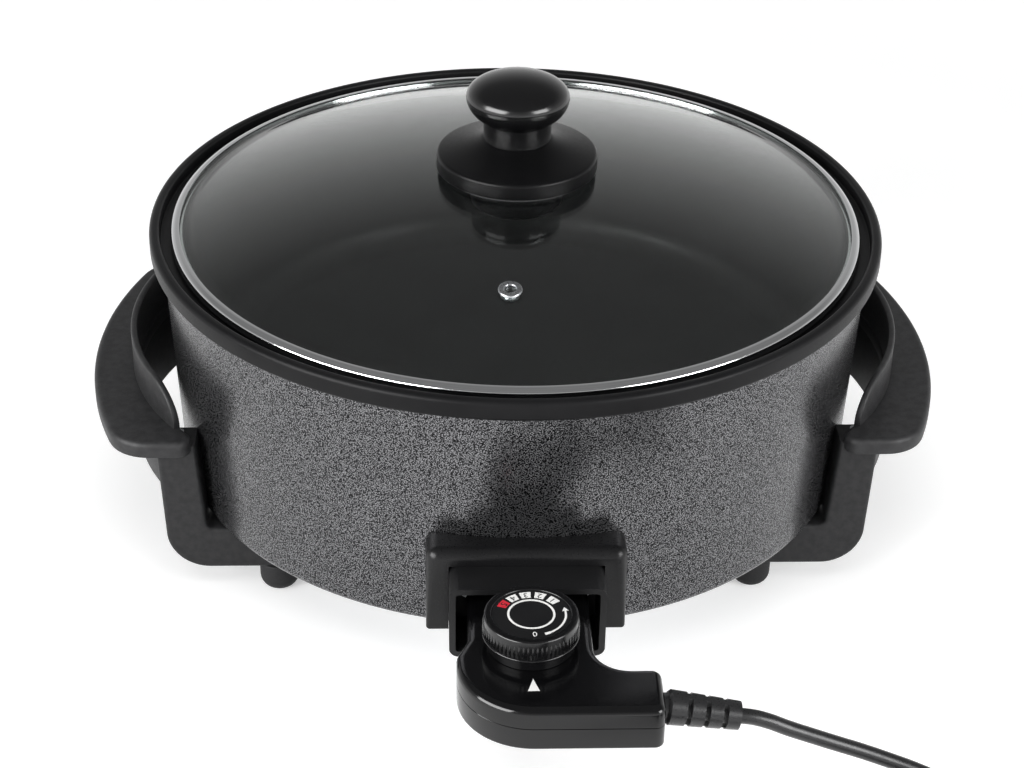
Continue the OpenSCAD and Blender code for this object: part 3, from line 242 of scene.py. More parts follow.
looks = {
    "nonstick": {"dark": "121213", "light": "181819", "rough": (0.34, 0.44), "grain": 1600, "bump": 0.06, "spec": 0.1},
    "handlePlastic": {"dark": "202021", "light": "2b2b2c", "clouds": 300, "rough": (0.46, 0.58), "grain": 1800,
                      "bump": 0.2, "spec": 0.3},
    "legPlastic": {"dark": "1c1c1d", "light": "262627", "clouds": 300, "rough": (0.46, 0.58), "grain": 1800,
                   "bump": 0.2, "spec": 0.26},
    "knobPlastic": {"dark": "060607", "light": "0a0a0b", "rough": (0.17, 0.22), "grain": 500,
                    "bump": 0.01, "spec": 0.5},
    "knobSatin": {"dark": "080809", "light": "0c0c0d", "rough": (0.3, 0.38), "grain": 900, "bump": 0.04, "spec": 0.14},
    "socketPlastic": {"dark": "0f0f10", "light": "151516", "rough": (0.26, 0.36), "grain": 1500,
                      "bump": 0.08, "spec": 0.25},
    "collarPlastic": {"dark": "101011", "light": "161617", "rough": (0.4, 0.5), "grain": 1500,
                      "bump": 0.1, "spec": 0.3},
    "controlPlastic": {"dark": "070708", "light": "0b0b0c", "rough": (0.1, 0.16), "grain": 700,
                       "bump": 0.02, "spec": 0.4},
    "dialPlastic": {"dark": "0b0b0c", "light": "101011", "rough": (0.16, 0.24), "grain": 1200, "bump": 0.04},
    "dialPlate": {"dark": "141415", "light": "19191a", "rough": (0.3, 0.4), "grain": 900, "bump": 0.04, "spec": 0.3},
    "footRubber": {"dark": "19191a", "light": "212122", "rough": (0.66, 0.8), "grain": 1500, "bump": 0.3, "spec": 0.3},
    "cordRubber": {"dark": "19191a", "light": "212122", "rough": (0.26, 0.36), "grain": 1300, "bump": 0.15},
    "gasketRubber": {"dark": "262627", "light": "2e2e2f", "rough": (0.6, 0.75), "grain": 1400, "bump": 0.25},
    "tieBand": {"dark": "1a1a1b", "light": "222223", "rough": (0.5, 0.64), "grain": 1000, "bump": 0.2},
    "steel": {"dark": "a9abae", "light": "c2c4c6", "rough": (0.24, 0.36), "metal": 1, "grain": 700, "bump": 0.06},
    "baseSheet": {"dark": "8f9193", "light": "b4b6b8", "rough": (0.36, 0.52), "metal": 1, "clouds": 60, "grain": 420,
                  "bump": 0.1},
    "elementSheath": {"dark": "4b4743", "light": "645f59", "rough": (0.45, 0.6), "metal": 0.8, "grain": 500,
                      "bump": 0.15},
    "brass": {"dark": "a98a45", "light": "c9aa62", "rough": (0.22, 0.36), "metal": 1, "grain": 800, "bump": 0.06},
    "copper": {"dark": "a8683f", "light": "c58354", "rough": (0.26, 0.4), "metal": 1, "grain": 800, "bump": 0.06},
    "ceramic": {"dark": "ddd6c4", "light": "eae4d6", "rough": (0.4, 0.55), "grain": 900, "bump": 0.12},
    "printWhite": {"dark": "dadad8", "light": "e6e6e4", "rough": (0.4, 0.5), "grain": 900, "bump": 0.05},
    "printRed": {"dark": "b81a2c", "light": "c82636", "rough": (0.4, 0.5), "grain": 900, "bump": 0.05},
    "printDark": {"dark": "121213", "light": "1a1a1b", "rough": (0.4, 0.5), "grain": 900, "bump": 0.05},
}
finishes = {name: newFinish(name, look) for name, look in looks.items()}


hammerPaint = {"dark": "151516", "mid": "4c4c4e", "light": "949496", "grain": 0.54, "rough": (0.2, 0.3), "depth": 0.03,
               "metal": 0.85, "spec": 0.25}


def makeHammerPaint(look):
    # grey paint with small light and dark flecks and a pebbled skin
    finish, tree, shader, place = startFinish("hammerPaint")
    pebbles = addNode(tree, "ShaderNodeTexVoronoi", Vector=place, Scale=1 / (look["grain"] * mm)).outputs["Distance"]
    colour = addRamp(tree, pebbles, (0.22, look["light"]), (0.72, look["dark"]), (0.48, look["mid"]))
    low, high = look["rough"]
    gloss = addRange(tree, pebbles, From_Min=0.2, From_Max=0.8, To_Min=low, To_Max=high)
    bump = addNode(tree, "ShaderNodeBump", {"invert": True}, Height=pebbles, Strength=0.5, Distance=look["depth"] * mm)
    feed(tree, shader, Base_Color=colour, Roughness=gloss, Normal=bump.outputs["Normal"], Metallic=look["metal"],
         Specular_IOR_Level=look["spec"])
    return finish


brightSteel = {"dark": "dcddde", "light": "ecedee", "rough": (0.1, 0.13), "lines": 2600}


def makeBrightSteel(look):
    # turned steel: fine lines that run round the axis
    finish, tree, shader, place = startFinish("brightSteel")
    flat = addNode(tree, "ShaderNodeVectorMath", {"operation": "MULTIPLY"}, Vector=place)
    flat.inputs[1].default_value = (1, 1, 0)
    out = addLength(tree, flat.outputs["Vector"])
    lines = addNode(tree, "ShaderNodeTexNoise", {"noise_dimensions": "1D"}, W=out, Scale=look["lines"]).outputs["Fac"]
    low, high = look["rough"]
    feed(tree, shader, Base_Color=addRamp(tree, lines, (0.3, look["dark"]), (0.7, look["light"])),
         Roughness=addRange(tree, lines, To_Min=low, To_Max=high), Metallic=1)
    return finish


lidGlass = {"tint": "f4f8f6", "rough": 0.02, "haze": 0.05, "bend": 1.47, "shade": (0.94, 0.96, 0.95, 1)}


def makeLidGlass(look):
    # clear glass with faint smears in its gloss, and lamps shine through it
    finish, tree, shader, place = startFinish("lidGlass")
    smears = addNode(tree, "ShaderNodeTexNoise", Vector=place, Scale=18.0, Detail=4.0).outputs["Fac"]
    gloss = addRange(tree, smears, From_Min=0.4, From_Max=0.75, To_Min=look["rough"], To_Max=look["haze"])
    feed(tree, shader, Base_Color=tone(look["tint"]), Roughness=gloss, Transmission_Weight=1, IOR=look["bend"])
    ray = addNode(tree, "ShaderNodeLightPath")
    clear = addNode(tree, "ShaderNodeBsdfTransparent", Color=look["shade"])
    mix = addNode(tree, "ShaderNodeMixShader", Fac=ray.outputs["Is Shadow Ray"])
    tree.links.new(shader.outputs["BSDF"], mix.inputs[1])
    tree.links.new(clear.outputs["BSDF"], mix.inputs[2])
    feed(tree, tree.nodes["Material Output"], Surface=mix.outputs["Shader"])
    return finish


finishes["hammerPaint"] = makeHammerPaint(hammerPaint)
finishes["brightSteel"] = makeBrightSteel(brightSteel)
finishes["lidGlass"] = makeLidGlass(lidGlass)
print("finishes made:", len(finishes))


# camera at the photograph's place
view = {"lens": 77.34, "at": (-38.7, -896.6, 611.1), "down": 31.41, "turn": -2.45, "roll": 1.05}


def makeCamera(v):
    down, turn, roll = (math.radians(v[k]) for k in ("down", "turn", "roll"))
    back = Vector((math.sin(turn) * math.cos(down), -math.cos(turn) * math.cos(down), math.sin(down)))
    flatRight = Vector((math.cos(turn), math.sin(turn), 0))
    flatUp = back.cross(flatRight)
    right = math.cos(roll) * flatRight + math.sin(roll) * flatUp
    up = back.cross(right)
    lens = bpy.data.cameras.new("camera")
    lens.lens = v["lens"]
    lens.sensor_width = 36
    lens.sensor_fit = "HORIZONTAL"
    camera = bpy.data.objects.new("camera", lens)
    scene.collection.objects.link(camera)
    place = Matrix((right, up, back)).transposed().to_4x4()
    place.translation = Vector(v["at"]) * mm
    camera.matrix_world = place
    scene.camera = camera


makeCamera(view)


# node trees for what repeats or follows a path
def newTree(name, inputs):
    tree = bpy.data.node_groups.new(name, "GeometryNodeTree")
    tree.interface.new_socket("Geometry", in_out="INPUT", socket_type="NodeSocketGeometry")
    for label, kind, value in inputs:
        socket = tree.interface.new_socket(label, in_out="INPUT", socket_type=kind)
        if value is not None:
            socket.default_value = value
    tree.interface.new_socket("Geometry", in_out="OUTPUT", socket_type="NodeSocketGeometry")
    return tree, tree.nodes.new("NodeGroupInput"), tree.nodes.new("NodeGroupOutput")


def endTree(tree, start, end, geometry):
    realize = addNode(tree, "GeometryNodeRealizeInstances", Geometry=geometry)
    paint = addNode(tree, "GeometryNodeSetMaterial", Geometry=realize.outputs["Geometry"],
                    Material=start.outputs["Finish"])
    feed(tree, end, Geometry=paint.outputs["Geometry"])
    return tree


def sweepTree():
    # round tube along the edges of a path
    tree, start, end = newTree("sweep", [
        ("Radius", "NodeSocketFloat", 0.003), ("Sides", "NodeSocketInt", 20), ("Finish", "NodeSocketMaterial", None)])
    path = addNode(tree, "GeometryNodeMeshToCurve", Mesh=start.outputs["Geometry"])
    ring = addNode(tree, "GeometryNodeCurvePrimitiveCircle", Radius=start.outputs["Radius"],
                   Resolution=start.outputs["Sides"])
    tube = addNode(tree, "GeometryNodeCurveToMesh", Curve=path.outputs["Curve"], Profile_Curve=ring.outputs["Curve"],
                   Fill_Caps=True)
    return endTree(tree, start, end, tube.outputs["Mesh"])


def cornersTree():
    # one shape at the four corners of a rectangle
    tree, start, end = newTree("fourCorners", [
        ("Width", "NodeSocketFloat", 0.2), ("Depth", "NodeSocketFloat", 0.1), ("Finish", "NodeSocketMaterial", None)])
    grid = addNode(tree, "GeometryNodeMeshGrid", Vertices_X=2, Vertices_Y=2, Size_X=start.outputs["Width"],
                   Size_Y=start.outputs["Depth"])
    spread = addNode(tree, "GeometryNodeInstanceOnPoints", Points=grid.outputs["Mesh"],
                     Instance=start.outputs["Geometry"])
    return endTree(tree, start, end, spread.outputs["Instances"])


def ringTree():
    # one shape repeated round an axis
    tree, start, end = newTree("roundAxis", [("Count", "NodeSocketInt", 60), ("Finish", "NodeSocketMaterial", None)])
    ring = addNode(tree, "GeometryNodeMeshCircle", Vertices=start.outputs["Count"], Radius=0.0)
    index = addNode(tree, "GeometryNodeInputIndex").outputs["Index"]
    angle = addMath(tree, "MULTIPLY", index, addMath(tree, "DIVIDE", 2 * math.pi, start.outputs["Count"]))
    turn = addNode(tree, "ShaderNodeCombineXYZ", Z=angle)
    spread = addNode(tree, "GeometryNodeInstanceOnPoints", Points=ring.outputs["Mesh"],
                     Instance=start.outputs["Geometry"], Rotation=turn.outputs["Vector"])
    return endTree(tree, start, end, spread.outputs["Instances"])


trees = {"sweep": sweepTree(), "corners": cornersTree(), "ring": ringTree()}


def growPiece(name, bm, tree, values, sharp, shift=(0, 0, 0)):
    # runs a tree on a small mesh and keeps the result as a plain mesh
    mesh = bpy.data.meshes.new(name)
    bm.to_mesh(mesh)
    bm.free()
    piece = bpy.data.objects.new(name, mesh)
    scene.collection.objects.link(piece)
    grow = piece.modifiers.new("grow", "NODES")
    grow.node_group = tree
    for item in tree.interface.items_tree:
        if item.in_out == "INPUT" and item.name in values:
            grow[item.identifier] = values[item.name]
    grown = bpy.data.meshes.new_from_object(piece.evaluated_get(bpy.context.evaluated_depsgraph_get()))
    piece.modifiers.remove(grow)
    piece.data = grown
    bm = bmesh.new()
    bm.from_mesh(grown)
    bmesh.ops.translate(bm, verts=bm.verts, vec=Vector(shift) * mm)
    softenEdges(bm, sharp)
    bm.to_mesh(grown)
    bm.free()
    grown.name = name
    return piece


# cord: out of the strain relief, down to the table, into a tied coil and on to the plug
cord = {
    "thick": 6.2, "start": (80.2036, -237.0044, 56.4302), "tilt": 9.5,
    # x and y from the start, and the share of the height that is left
    "fall": [(12.8, 0, 0.9361), (19.8, 0, 0.8728), (29.8, 0, 0.7942), (39.8, 0, 0.7174), (49.8, 0, 0.6426),
             (59.8, -0.5, 0.5678), (69.8, -1.5, 0.4949), (79.8, -3.5, 0.422), (89.8, -7, 0.3491), (98.8, -12, 0.282),
             (106.8, -18, 0.2168), (113.8, -25.5, 0.1554), (119.8, -34, 0.1017), (124.8, -44, 0.0556),
             (128.3, -55, 0.0192)],
    "coilAt": (170.0036, -310.0044), "coilRadius": 40.5, "coilPitch": 6.8, "coilLow": 4.3, "turnsIn": 2, "turns": 4.25,
    "tail": [(157.6036, 11.1), (150.0036, 12.2), (142.0036, 14.8),
             (134.0036, 17.5), (126.2036, 18.6), (120.0036, 18.6)],
    "tieAt": 0.625, "tieOut": 39.65, "tieIn": 24.35, "tieLow": 0.9, "tieHigh": 14.5, "tieThick": 0.8, "tieWide": 9,
}


def coilPoint(t):
    back = cord["turnsIn"] + 0.25
    r = cord["coilRadius"] - cord["coilPitch"] * (t if t < back else 2 * back - t)
    lift = (1 - math.cos(math.pi * min(max((t - cord["turnsIn"]) / 0.5, 0), 1))) / 2
    x, y = cord["coilAt"]
    return Vector((x + r * math.cos(2 * math.pi * t), y - r * math.sin(2 * math.pi * t),
                   cord["coilLow"] + cord["coilPitch"] * lift))


def smoothPath(points, steps):
    # curve through the points, eased at every one
    p = [points[0] * 2 - points[1]] + points + [points[-1] * 2 - points[-2]]
    path = []
    for a, b, c, d in zip(p, p[1:], p[2:], p[3:]):
        for i in range(steps):
            t = i / steps
            path.append(0.5 * (2 * b + (c - a) * t + (2 * a - 5 * b + 4 * c - d) * t * t
                               + (3 * b - a - 3 * c + d) * t ** 3))
    return path + [points[-1]]


def cordPath():
    start = Vector(cord["start"])
    tilt = math.radians(cord["tilt"])
    fall = [start, start + cord["thick"] * Vector((math.cos(tilt), 0, -math.sin(tilt)))]
    drop = start.z - cord["coilLow"]
    fall += [Vector((start.x + x, start.y + y, cord["coilLow"] + share * drop)) for x, y, share in cord["fall"]]
    fall += [coilPoint(0) + Vector((0, cord["thick"], 0)), coilPoint(0)]
    coil = [coilPoint(cord["turns"] * i / 204) for i in range(1, 205)]
    tail = [coil[-1]] + [Vector((x, coil[-1].y, z)) for x, z in cord["tail"]]
    return smoothPath(fall, 5) + coil + smoothPath(tail, 5)[1:]


def makeTie(c):
    # flat band round the turns: a rounded frame, swept across its width
    turn = math.radians(-360 * c["tieAt"])
    out, across = Vector((math.cos(turn), math.sin(turn), 0)), Vector((math.sin(turn), -math.cos(turn), 0))
    middle = Vector((*c["coilAt"], 0))

    def frameLoop(grow, w):
        r = 2.2 + grow
        r0, r1 = c["tieIn"] - grow, c["tieOut"] + grow
        z0, z1 = c["tieLow"] - grow, c["tieHigh"] + grow
        flat = arcPoints(r1 - r, z0 + r, r, -90, 0, 6) + arcPoints(r1 - r, z1 - r, r, 0, 90, 6)
        flat += arcPoints(r0 + r, z1 - r, r, 90, 180, 6) + arcPoints(r0 + r, z0 + r, r, 180, 270, 6)
        return [middle + out * a + across * w + Vector((0, 0, z)) for a, z in flat]

    t, w = c["tieThick"], c["tieWide"] / 2
    loops = [frameLoop(g, s) for g, s in ((0, -w), (t - 0.2, -w), (t, -w + 0.2), (t, w - 0.2), (t - 0.2, w), (0, w))]
    bm = bmesh.new()
    rows = [[bm.verts.new(p * mm) for p in loop] for loop in loops]
    for a, b in zip(rows, rows[1:] + rows[:1]):
        for i in range(len(a)):
            j = (i + 1) % len(a)
            bm.faces.new((a[i], a[j], b[j], b[i]))
    bmesh.ops.recalc_face_normals(bm, faces=bm.faces)
    return makePiece("cordTie", bm, finishes["tieBand"], "control", ["cord_tie"])


def makeCord():
    path = [p * mm for p in cordPath()]
    bm = bmesh.new()
    line = [bm.verts.new(p) for p in path]
    for a, b in zip(line, line[1:]):
        bm.edges.new((a, b))
    piece = growPiece("mainsCord", bm, trees["sweep"], {
        "Radius": cord["thick"] / 2 * mm, "Sides": 20, "Finish": finishes["cordRubber"]}, 60)
    settle(piece, "control", ["cord_run", "cord_coil", "cord_tail"])
    makeTie(cord)


makeCord()


# pan and casing
casing = {"low": 36.6, "top": 147.3, "lowRadius": 155.8, "topRadius": 160.5, "round": 4, "sheet": 1, "flange": 16}


def makeCasing(c):
    x, z = c["lowRadius"] - c["round"], c["low"] + c["round"]
    profile = [(c["lowRadius"] - c["flange"], c["low"])] + arcPoints(x, z, c["round"], -90, 0, 10)
    profile += [(c["topRadius"], c["top"]), (c["topRadius"] - c["sheet"], c["top"])]
    profile += arcPoints(x, z, c["round"] - c["sheet"], 0, -90, 10)
    profile += [(c["lowRadius"] - c["flange"], c["low"] + c["sheet"])]
    makePiece("casing", latheMesh(profile, 256), finishes["hammerPaint"], "pan", ["outer_casing"])


makeCasing(casing)

pan = {"rim": 165.7, "rimWidth": 4.7, "rimHeight": 8.9, "top": 155.5, "ledge": 149.8, "ledgeIn": 150.5, "floor": 68.5,
       "wall": 2.5, "under": 65.5, "draft": 3, "round": 14}


def makePan(p):
    inner, outer = p["rimWidth"] / 3, p["rimWidth"] / 2
    ledgeOut = p["rim"] - p["rimWidth"]
    wallTop = p["ledgeIn"] - 1
    wallLow = wallTop - p["draft"]
    skirt = p["top"] - p["rimHeight"]
    x, z = wallLow - p["round"], p["floor"] + p["round"]
    under = p["round"] + p["floor"] - p["under"]
    profile = [(0, p["floor"])] + arcPoints(x, z, p["round"], -90, 0, 12)
    profile += arcPoints(wallTop + 1, p["ledge"] - 1, 1, 180, 90, 5)
    profile += arcPoints(ledgeOut - 0.6, p["ledge"] + 0.6, 0.6, -90, 0, 4)
    profile += arcPoints(ledgeOut + inner, p["top"] - inner, inner, 180, 90, 8)
    profile += arcPoints(p["rim"] - outer, p["top"] - outer, outer, 90, 0, 10)
    profile += arcPoints(p["rim"] - inner, skirt + inner, inner, 0, -90, 6)
    profile += [(ledgeOut, skirt), (ledgeOut, casing["top"]), (wallTop + p["wall"], casing["top"])]
    profile += arcPoints(x, z, under, 0, -90, 12) + [(0, p["under"])]
    makePiece("cookingPan", latheMesh(profile, 256), finishes["nonstick"], "pan", ["inner_pan"])


makePan(pan)
print("pan and casing made")


# feet and legs
foot = {"radius": 9, "height": 14.5, "dx": 218, "dy": 144, "round": 6.4, "stem": 3, "stemHeight": 8}
leg = {"bar": 21.3, "barEnd": 96.5, "front": 64, "back": 80, "postAt": 151.9, "postWidth": 17.4, "lean": 2.8,
       "taper": 1.5, "corner": 19, "edge": 1.8, "inner": 3}
grip = {"top": 85, "plate": 4, "skirt": 7.7, "wall": 3, "radius": 195.455, "half": 85, "corner": 20, "edge": 2.6,
        "shieldAt": 59.855, "shieldRadius": 118, "shieldThick": 3, "shieldRise": 19, "shieldDrop": 39,
        "shieldRound": 17, "shieldHalf": 73, "lowHalf": 62, "lip": 0.5,
        # how far the shield's upper and lower strips reach into the grip, and their edges
        "upperRoot": 4.5, "upperEdge": 1.3, "lowerRoot": 1.5, "lowerEdge": 1.2, "lowerRound": 4}


def makeFeet(f):
    profile = [(0, 0)] + arcPoints(f["radius"] - f["round"], f["round"], f["round"], -90, 0, 8)
    profile += arcPoints(f["radius"] - 0.8, f["height"] - 0.8, 0.8, 0, 90, 4)
    stemTop = f["height"] + f["stemHeight"]
    profile += [(f["stem"], f["height"]), (f["stem"], stemTop), (0, stemTop)]
    piece = growPiece("feet", latheMesh(profile, 64), trees["corners"], {
        "Width": f["dx"] * mm, "Depth": f["dy"] * mm, "Finish": finishes["footRubber"]}, 40)
    settle(piece, "pan", ["feet"])


makeFeet(foot)


def postSides(z):
    under = grip["top"] - grip["plate"]
    down = (under - z) / (under - foot["height"])
    x = leg["postAt"] - leg["lean"] * down
    return x - leg["postWidth"] / 2 - leg["taper"] * down, x + leg["postWidth"] / 2


def makeLeg(name, node, sx, sy):
    low, base, under = foot["height"], foot["height"] + leg["bar"], grip["top"] - grip["plate"]
    outer = postSides(low + leg["corner"])[1] - leg["corner"]
    outline = [(leg["barEnd"], low)] + arcPoints(outer, low + leg["corner"], leg["corner"], -90, 0, 16)
    outline += [(postSides(under)[1], under), (postSides(under)[0], under)]
    outline += arcPoints(postSides(base)[0] - leg["inner"], base + leg["inner"], leg["inner"], 0, -90, 6)
    outline += [(leg["barEnd"], base)]
    loops = slabLoops(outline, leg["front"], leg["back"], leg["edge"], leg["edge"])
    bm = loftMesh([[(sx * x, sy * y, z) for x, z, y in loop] for loop in loops])
    makePiece(name, bm, finishes["legPlastic"], "pan", [node])


for legName, legNode, legX, legY in (
        ("frontLeftLeg", "front_left_leg", -1, -1), ("rearLeftLeg", "rear_left_leg", -1, 1),
        ("frontRightLeg", "front_right_leg", 1, -1), ("rearRightLeg", "rear_right_leg", 1, 1)):
    makeLeg(legName, legNode, legX, legY)


# handles: a grip plate with a turned-down edge, and a heat shield that stands behind it
def gripOutline(inset):
    half, out = grip["half"] - inset, grip["radius"] - inset
    inside = grip["shieldRadius"] + 1 if inset else grip["shieldRadius"] - grip["shieldThick"] - grip["lip"]
    cOut, cIn = grip["corner"] - inset, 0.3 * grip["corner"]
    oy, iy = half - cOut, half - cIn
    ox = math.sqrt((out - cOut) ** 2 - oy * oy)
    ix = math.sqrt((inside + cIn) ** 2 - iy * iy)
    ao, ai = math.degrees(math.atan2(oy, ox)), math.degrees(math.atan2(iy, ix))
    sx = grip["shieldAt"]
    return (arcPoints(0, 0, out, -ao, ao, 48)[:-1] + arcPoints(ox, oy, cOut, ao, 90, 12)
            + arcPoints(sx + ix, iy, cIn, 90, 180 + ai, 10)[:-1] + arcPoints(sx, 0, inside, ai, -ai, 48)[:-1]
            + arcPoints(sx + ix, -iy, cIn, 180 - ai, 270, 10) + arcPoints(ox, -oy, cOut, 270, 360 - ao, 12)[:-1])


def gripMesh():
    outer, pocket = gripOutline(0), gripOutline(grip["wall"])
    low, under = grip["top"] - grip["skirt"], grip["top"] - grip["plate"]
    levels = [(drawIn(pocket, 0.5), under), (pocket, under), (pocket, low + 0.6),
              (drawIn(outer, grip["wall"] - 0.6), low), (drawIn(outer, 0.8), low),
              (drawIn(outer, 0.25), low + 0.25), (outer, low + 0.9)]
    for i in range(7):
        a = math.pi / 2 * i / 6
        levels.append((drawIn(outer, grip["edge"] * (1 - math.cos(a))), grip["top"] - grip["edge"] * (1 - math.sin(a))))
    levels.append((drawIn(outer, grip["edge"] + 0.6), grip["top"]))
    return loftMesh([[(x, y, z) for x, y in loop] for loop, z in levels])


def shieldMesh(half, topAt, lowAt, edge):
    # rounded strip bent on the shield's arc, one column for each place along it
    out = grip["shieldRadius"]
    inn = out - grip["shieldThick"]
    loops = []
    for i in range(97):
        y = -half * math.cos(math.pi * i / 96)
        a = math.asin(y / out)
        top, bottom = topAt(abs(y)), lowAt(abs(y))
        ring = arcPoints(inn + edge, bottom + edge, edge, 180, 270, 4)
        ring += arcPoints(out - edge, bottom + edge, edge, 270, 360, 4)
        ring += arcPoints(out - edge, top - edge, edge, 0, 90, 4) + arcPoints(inn + edge, top - edge, edge, 90, 180, 4)
        loops.append([(grip["shieldAt"] + r * math.cos(a), r * math.sin(a), z) for r, z in ring])
    return loftMesh(loops)


def cornerTop(y, half, top, corner):
    past = max(0, y - half + corner)
    return top - corner + math.sqrt(max(corner ** 2 - past ** 2, 0))


def makeHandle(name, node, side):
    top = grip["top"] + grip["shieldRise"]
    low = grip["top"] - grip["shieldDrop"]
    upper = shieldMesh(grip["shieldHalf"], lambda y: cornerTop(y, grip["shieldHalf"], top, grip["shieldRound"]),
                       lambda y: grip["top"] - grip["upperRoot"], grip["upperEdge"])
    r = grip["lowerRound"]
    lower = shieldMesh(grip["lowHalf"], lambda y: grip["top"] - grip["lowerRoot"],
                       lambda y: 2 * low + r - cornerTop(y, grip["lowHalf"], low + r, r), grip["lowerEdge"])
    bm = joinMeshes(gripMesh(), upper, lower)
    turnMesh(bm, Matrix.Diagonal((side, 1, 1, 1)))
    makePiece(name, bm, finishes["handlePlastic"], "pan", [node])


makeHandle("leftHandle", "left_handle", -1)
makeHandle("rightHandle", "right_handle", 1)
print("handles, legs and feet made")


# socket
makePiece("socketFrame", nodeCopy("socket_frame"), finishes["socketPlastic"], "pan", ["socket_frame"],
          40)
makePiece("socketCollar", nodeCopy("socket_collar"), finishes["collarPlastic"], "pan", ["socket_collar"])


# lid
lid = {"radius": 156.2, "low": 150.1, "high": 155.2, "sheet": 0.8, "lip": 4, "seat": 5.5, "round": 1.5,
       "crest": (3, 1.8), "hole": 2.6, "glass": 3.4, "flat": 149.4, "glassRadius": 155.3,
       "domeRadius": 484.7, "top": 177.95}
knob = {"low": 178.65, "baseRadius": 36.2, "baseHeight": 14.3, "edge": 7.7, "neck": 15.2, "grip": 23, "neckHeight": 9,
        "crown": 10, "height": 29.5, "bossRadius": 20.7, "bossTop": 174.55, "bossDepth": 15.6, "bossRound": 3,
        # radius and depth of the screw head's pocket
        "pocket": (5.3, 4), "baseLow": 0.8, "fillet": 1.8}
vent = {"out": 97, "angle": 266.5, "hole": 2.5, "lip": 5.2, "wall": 0.6, "low": -4.55, "flange": -3.75,
        "high": 0.05}


def domeHeight(r):
    return lid["top"] - lid["domeRadius"] + math.sqrt(lid["domeRadius"] ** 2 - r * r)


def ventPlace():
    tilt = math.asin(vent["out"] / lid["domeRadius"])
    return (Matrix.Translation((0, 0, (lid["top"] - lid["domeRadius"]) * mm))
            @ Matrix.Rotation(math.radians(vent["angle"]), 4, "Z") @ Matrix.Rotation(tilt, 4, "Y")
            @ Matrix.Translation((0, 0, lid["domeRadius"] * mm)))


def makeLid():
    n = 48
    hole, reach = lid["hole"], lid["flat"]
    top = [(hole + (reach - hole) * i / n, domeHeight(hole + (reach - hole) * i / n)) for i in range(n + 1)]
    edge = domeHeight(reach)
    under = [(r, z - lid["glass"]) for r, z in reversed(top)]
    profile = top + [(lid["glassRadius"], edge), (lid["glassRadius"], edge - lid["glass"])] + under
    makePiece("glassDome", latheMesh(profile, 256), finishes["lidGlass"], "lid", ["lid_glass"])
    r, low, high, t = lid["radius"], lid["low"], lid["high"], lid["sheet"]
    ring = [(r - lid["seat"], low)] + arcPoints(r - lid["round"], low + lid["round"], lid["round"], -90, 0, 6)
    wide, tall = lid["crest"]
    ring += [(r - wide + x, high - tall + z * tall / wide) for x, z in arcPoints(0, 0, wide, 0, 90, 14)]
    ring += [(r - lid["lip"], high), (r - lid["lip"], high - t), (r - t, high - t), (r - t, low + t)]
    ring += [(r - lid["seat"], low + t)]
    makePiece("steelRing", latheMesh(ring, 256), finishes["brightSteel"], "lid", ["lid_ring"])
    h, wall, lip, low, flange, high = (vent[k] for k in ("hole", "wall", "lip", "low", "flange", "high"))
    eyelet = [(h, low), (lip - 1, low), (lip - 1, flange), (h + wall, flange), (h + wall, high), (lip, high)]
    eyelet += arcPoints(lip - 0.7, 0.25, wall, 0, 90, 5) + arcPoints(h + wall, 0.25, wall, 90, 180, 5)
    bm = turnMesh(latheMesh(eyelet, 48), ventPlace())
    makePiece("ventEyelet", bm, finishes["steel"], "lid", ["vent_eyelet"])


def makeKnob(k):
    z0 = k["low"] + k["baseHeight"]
    z1, z2 = z0 + k["neckHeight"], z0 + k["height"] - k["crown"]
    r0, r2 = k["neck"] + 0.5, k["grip"]
    half = (z2 - z1) / math.sqrt(1 - (r0 / r2) ** 2)
    heights = [z1 + (z2 - 0.3 - z1) * i / 14 for i in range(15)]
    flare = [(r2 * math.sqrt(1 - ((z2 - z) / half) ** 2), z) for z in heights]
    crown = [(r2 * math.cos(a), z2 + k["crown"] * math.sin(a)) for a in [math.pi / 2 * i / 20 for i in range(20)]]
    neck = [(0, z0), (k["neck"], z0), (k["neck"], z1 - 0.8), (k["neck"] + 0.15, z1 - 0.2)]
    groove = [(r2 - 0.3, z2 - 0.2)]
    profile = neck + flare + groove + crown + [(0, z0 + k["height"])]
    makePiece("knobGrip", latheMesh(profile, 128), finishes["knobPlastic"], "lid", ["knob_grip"], 40)
    r, edge, fillet, hole, under = k["baseRadius"], k["low"] + k["edge"], k["fillet"], lid["hole"], k["baseLow"]
    base = [(hole, k["low"])] + arcPoints(r - under, k["low"] + under, under, -90, 0, 4)
    base += arcPoints(r - fillet, edge - fillet, fillet, 0, 78, 7)
    last = base[-1]
    for i in range(1, 17):
        t = i / 16
        base.append((last[0] + (k["neck"] - last[0]) * t, last[1] + (z0 - last[1]) * (0.75 * t + 0.25 * t ** 4)))
    base += [(hole, z0)]
    makePiece("knobBase", latheMesh(base, 128), finishes["knobSatin"], "lid", ["knob_base"], 40)
    low = k["bossTop"] - k["bossDepth"]
    head, deep = k["pocket"]
    r = k["bossRound"]
    boss = [(head, low + deep), (head, low)] + arcPoints(k["bossRadius"] - r, low + r, r, -90, 0, 8)
    boss += [(k["bossRadius"], domeHeight(k["bossRadius"]) - lid["glass"] - 0.05)]
    boss += [(hole, k["bossTop"] - 0.05), (hole, low + deep)]
    makePiece("knobBoss", latheMesh(boss, 96), finishes["knobSatin"], "lid", ["knob_boss"], 40)


makeLid()
makeKnob(knob)
print("lid made")


# heat control
control = {"low": 51, "seam": 61.2, "top": 70, "neck": 24.85, "back": -163.54, "left": -29.45, "front": -250,
           "arm": 50.4, "armBack": -224, "corner": 30, "hollow": 14, "edge": 3, "lowEdge": 1.2, "wall": 2.2,
           "shoulder": -204.3, "shoulderEnd": -215, "pointer": (-230.3, -237.6, 2.2)}


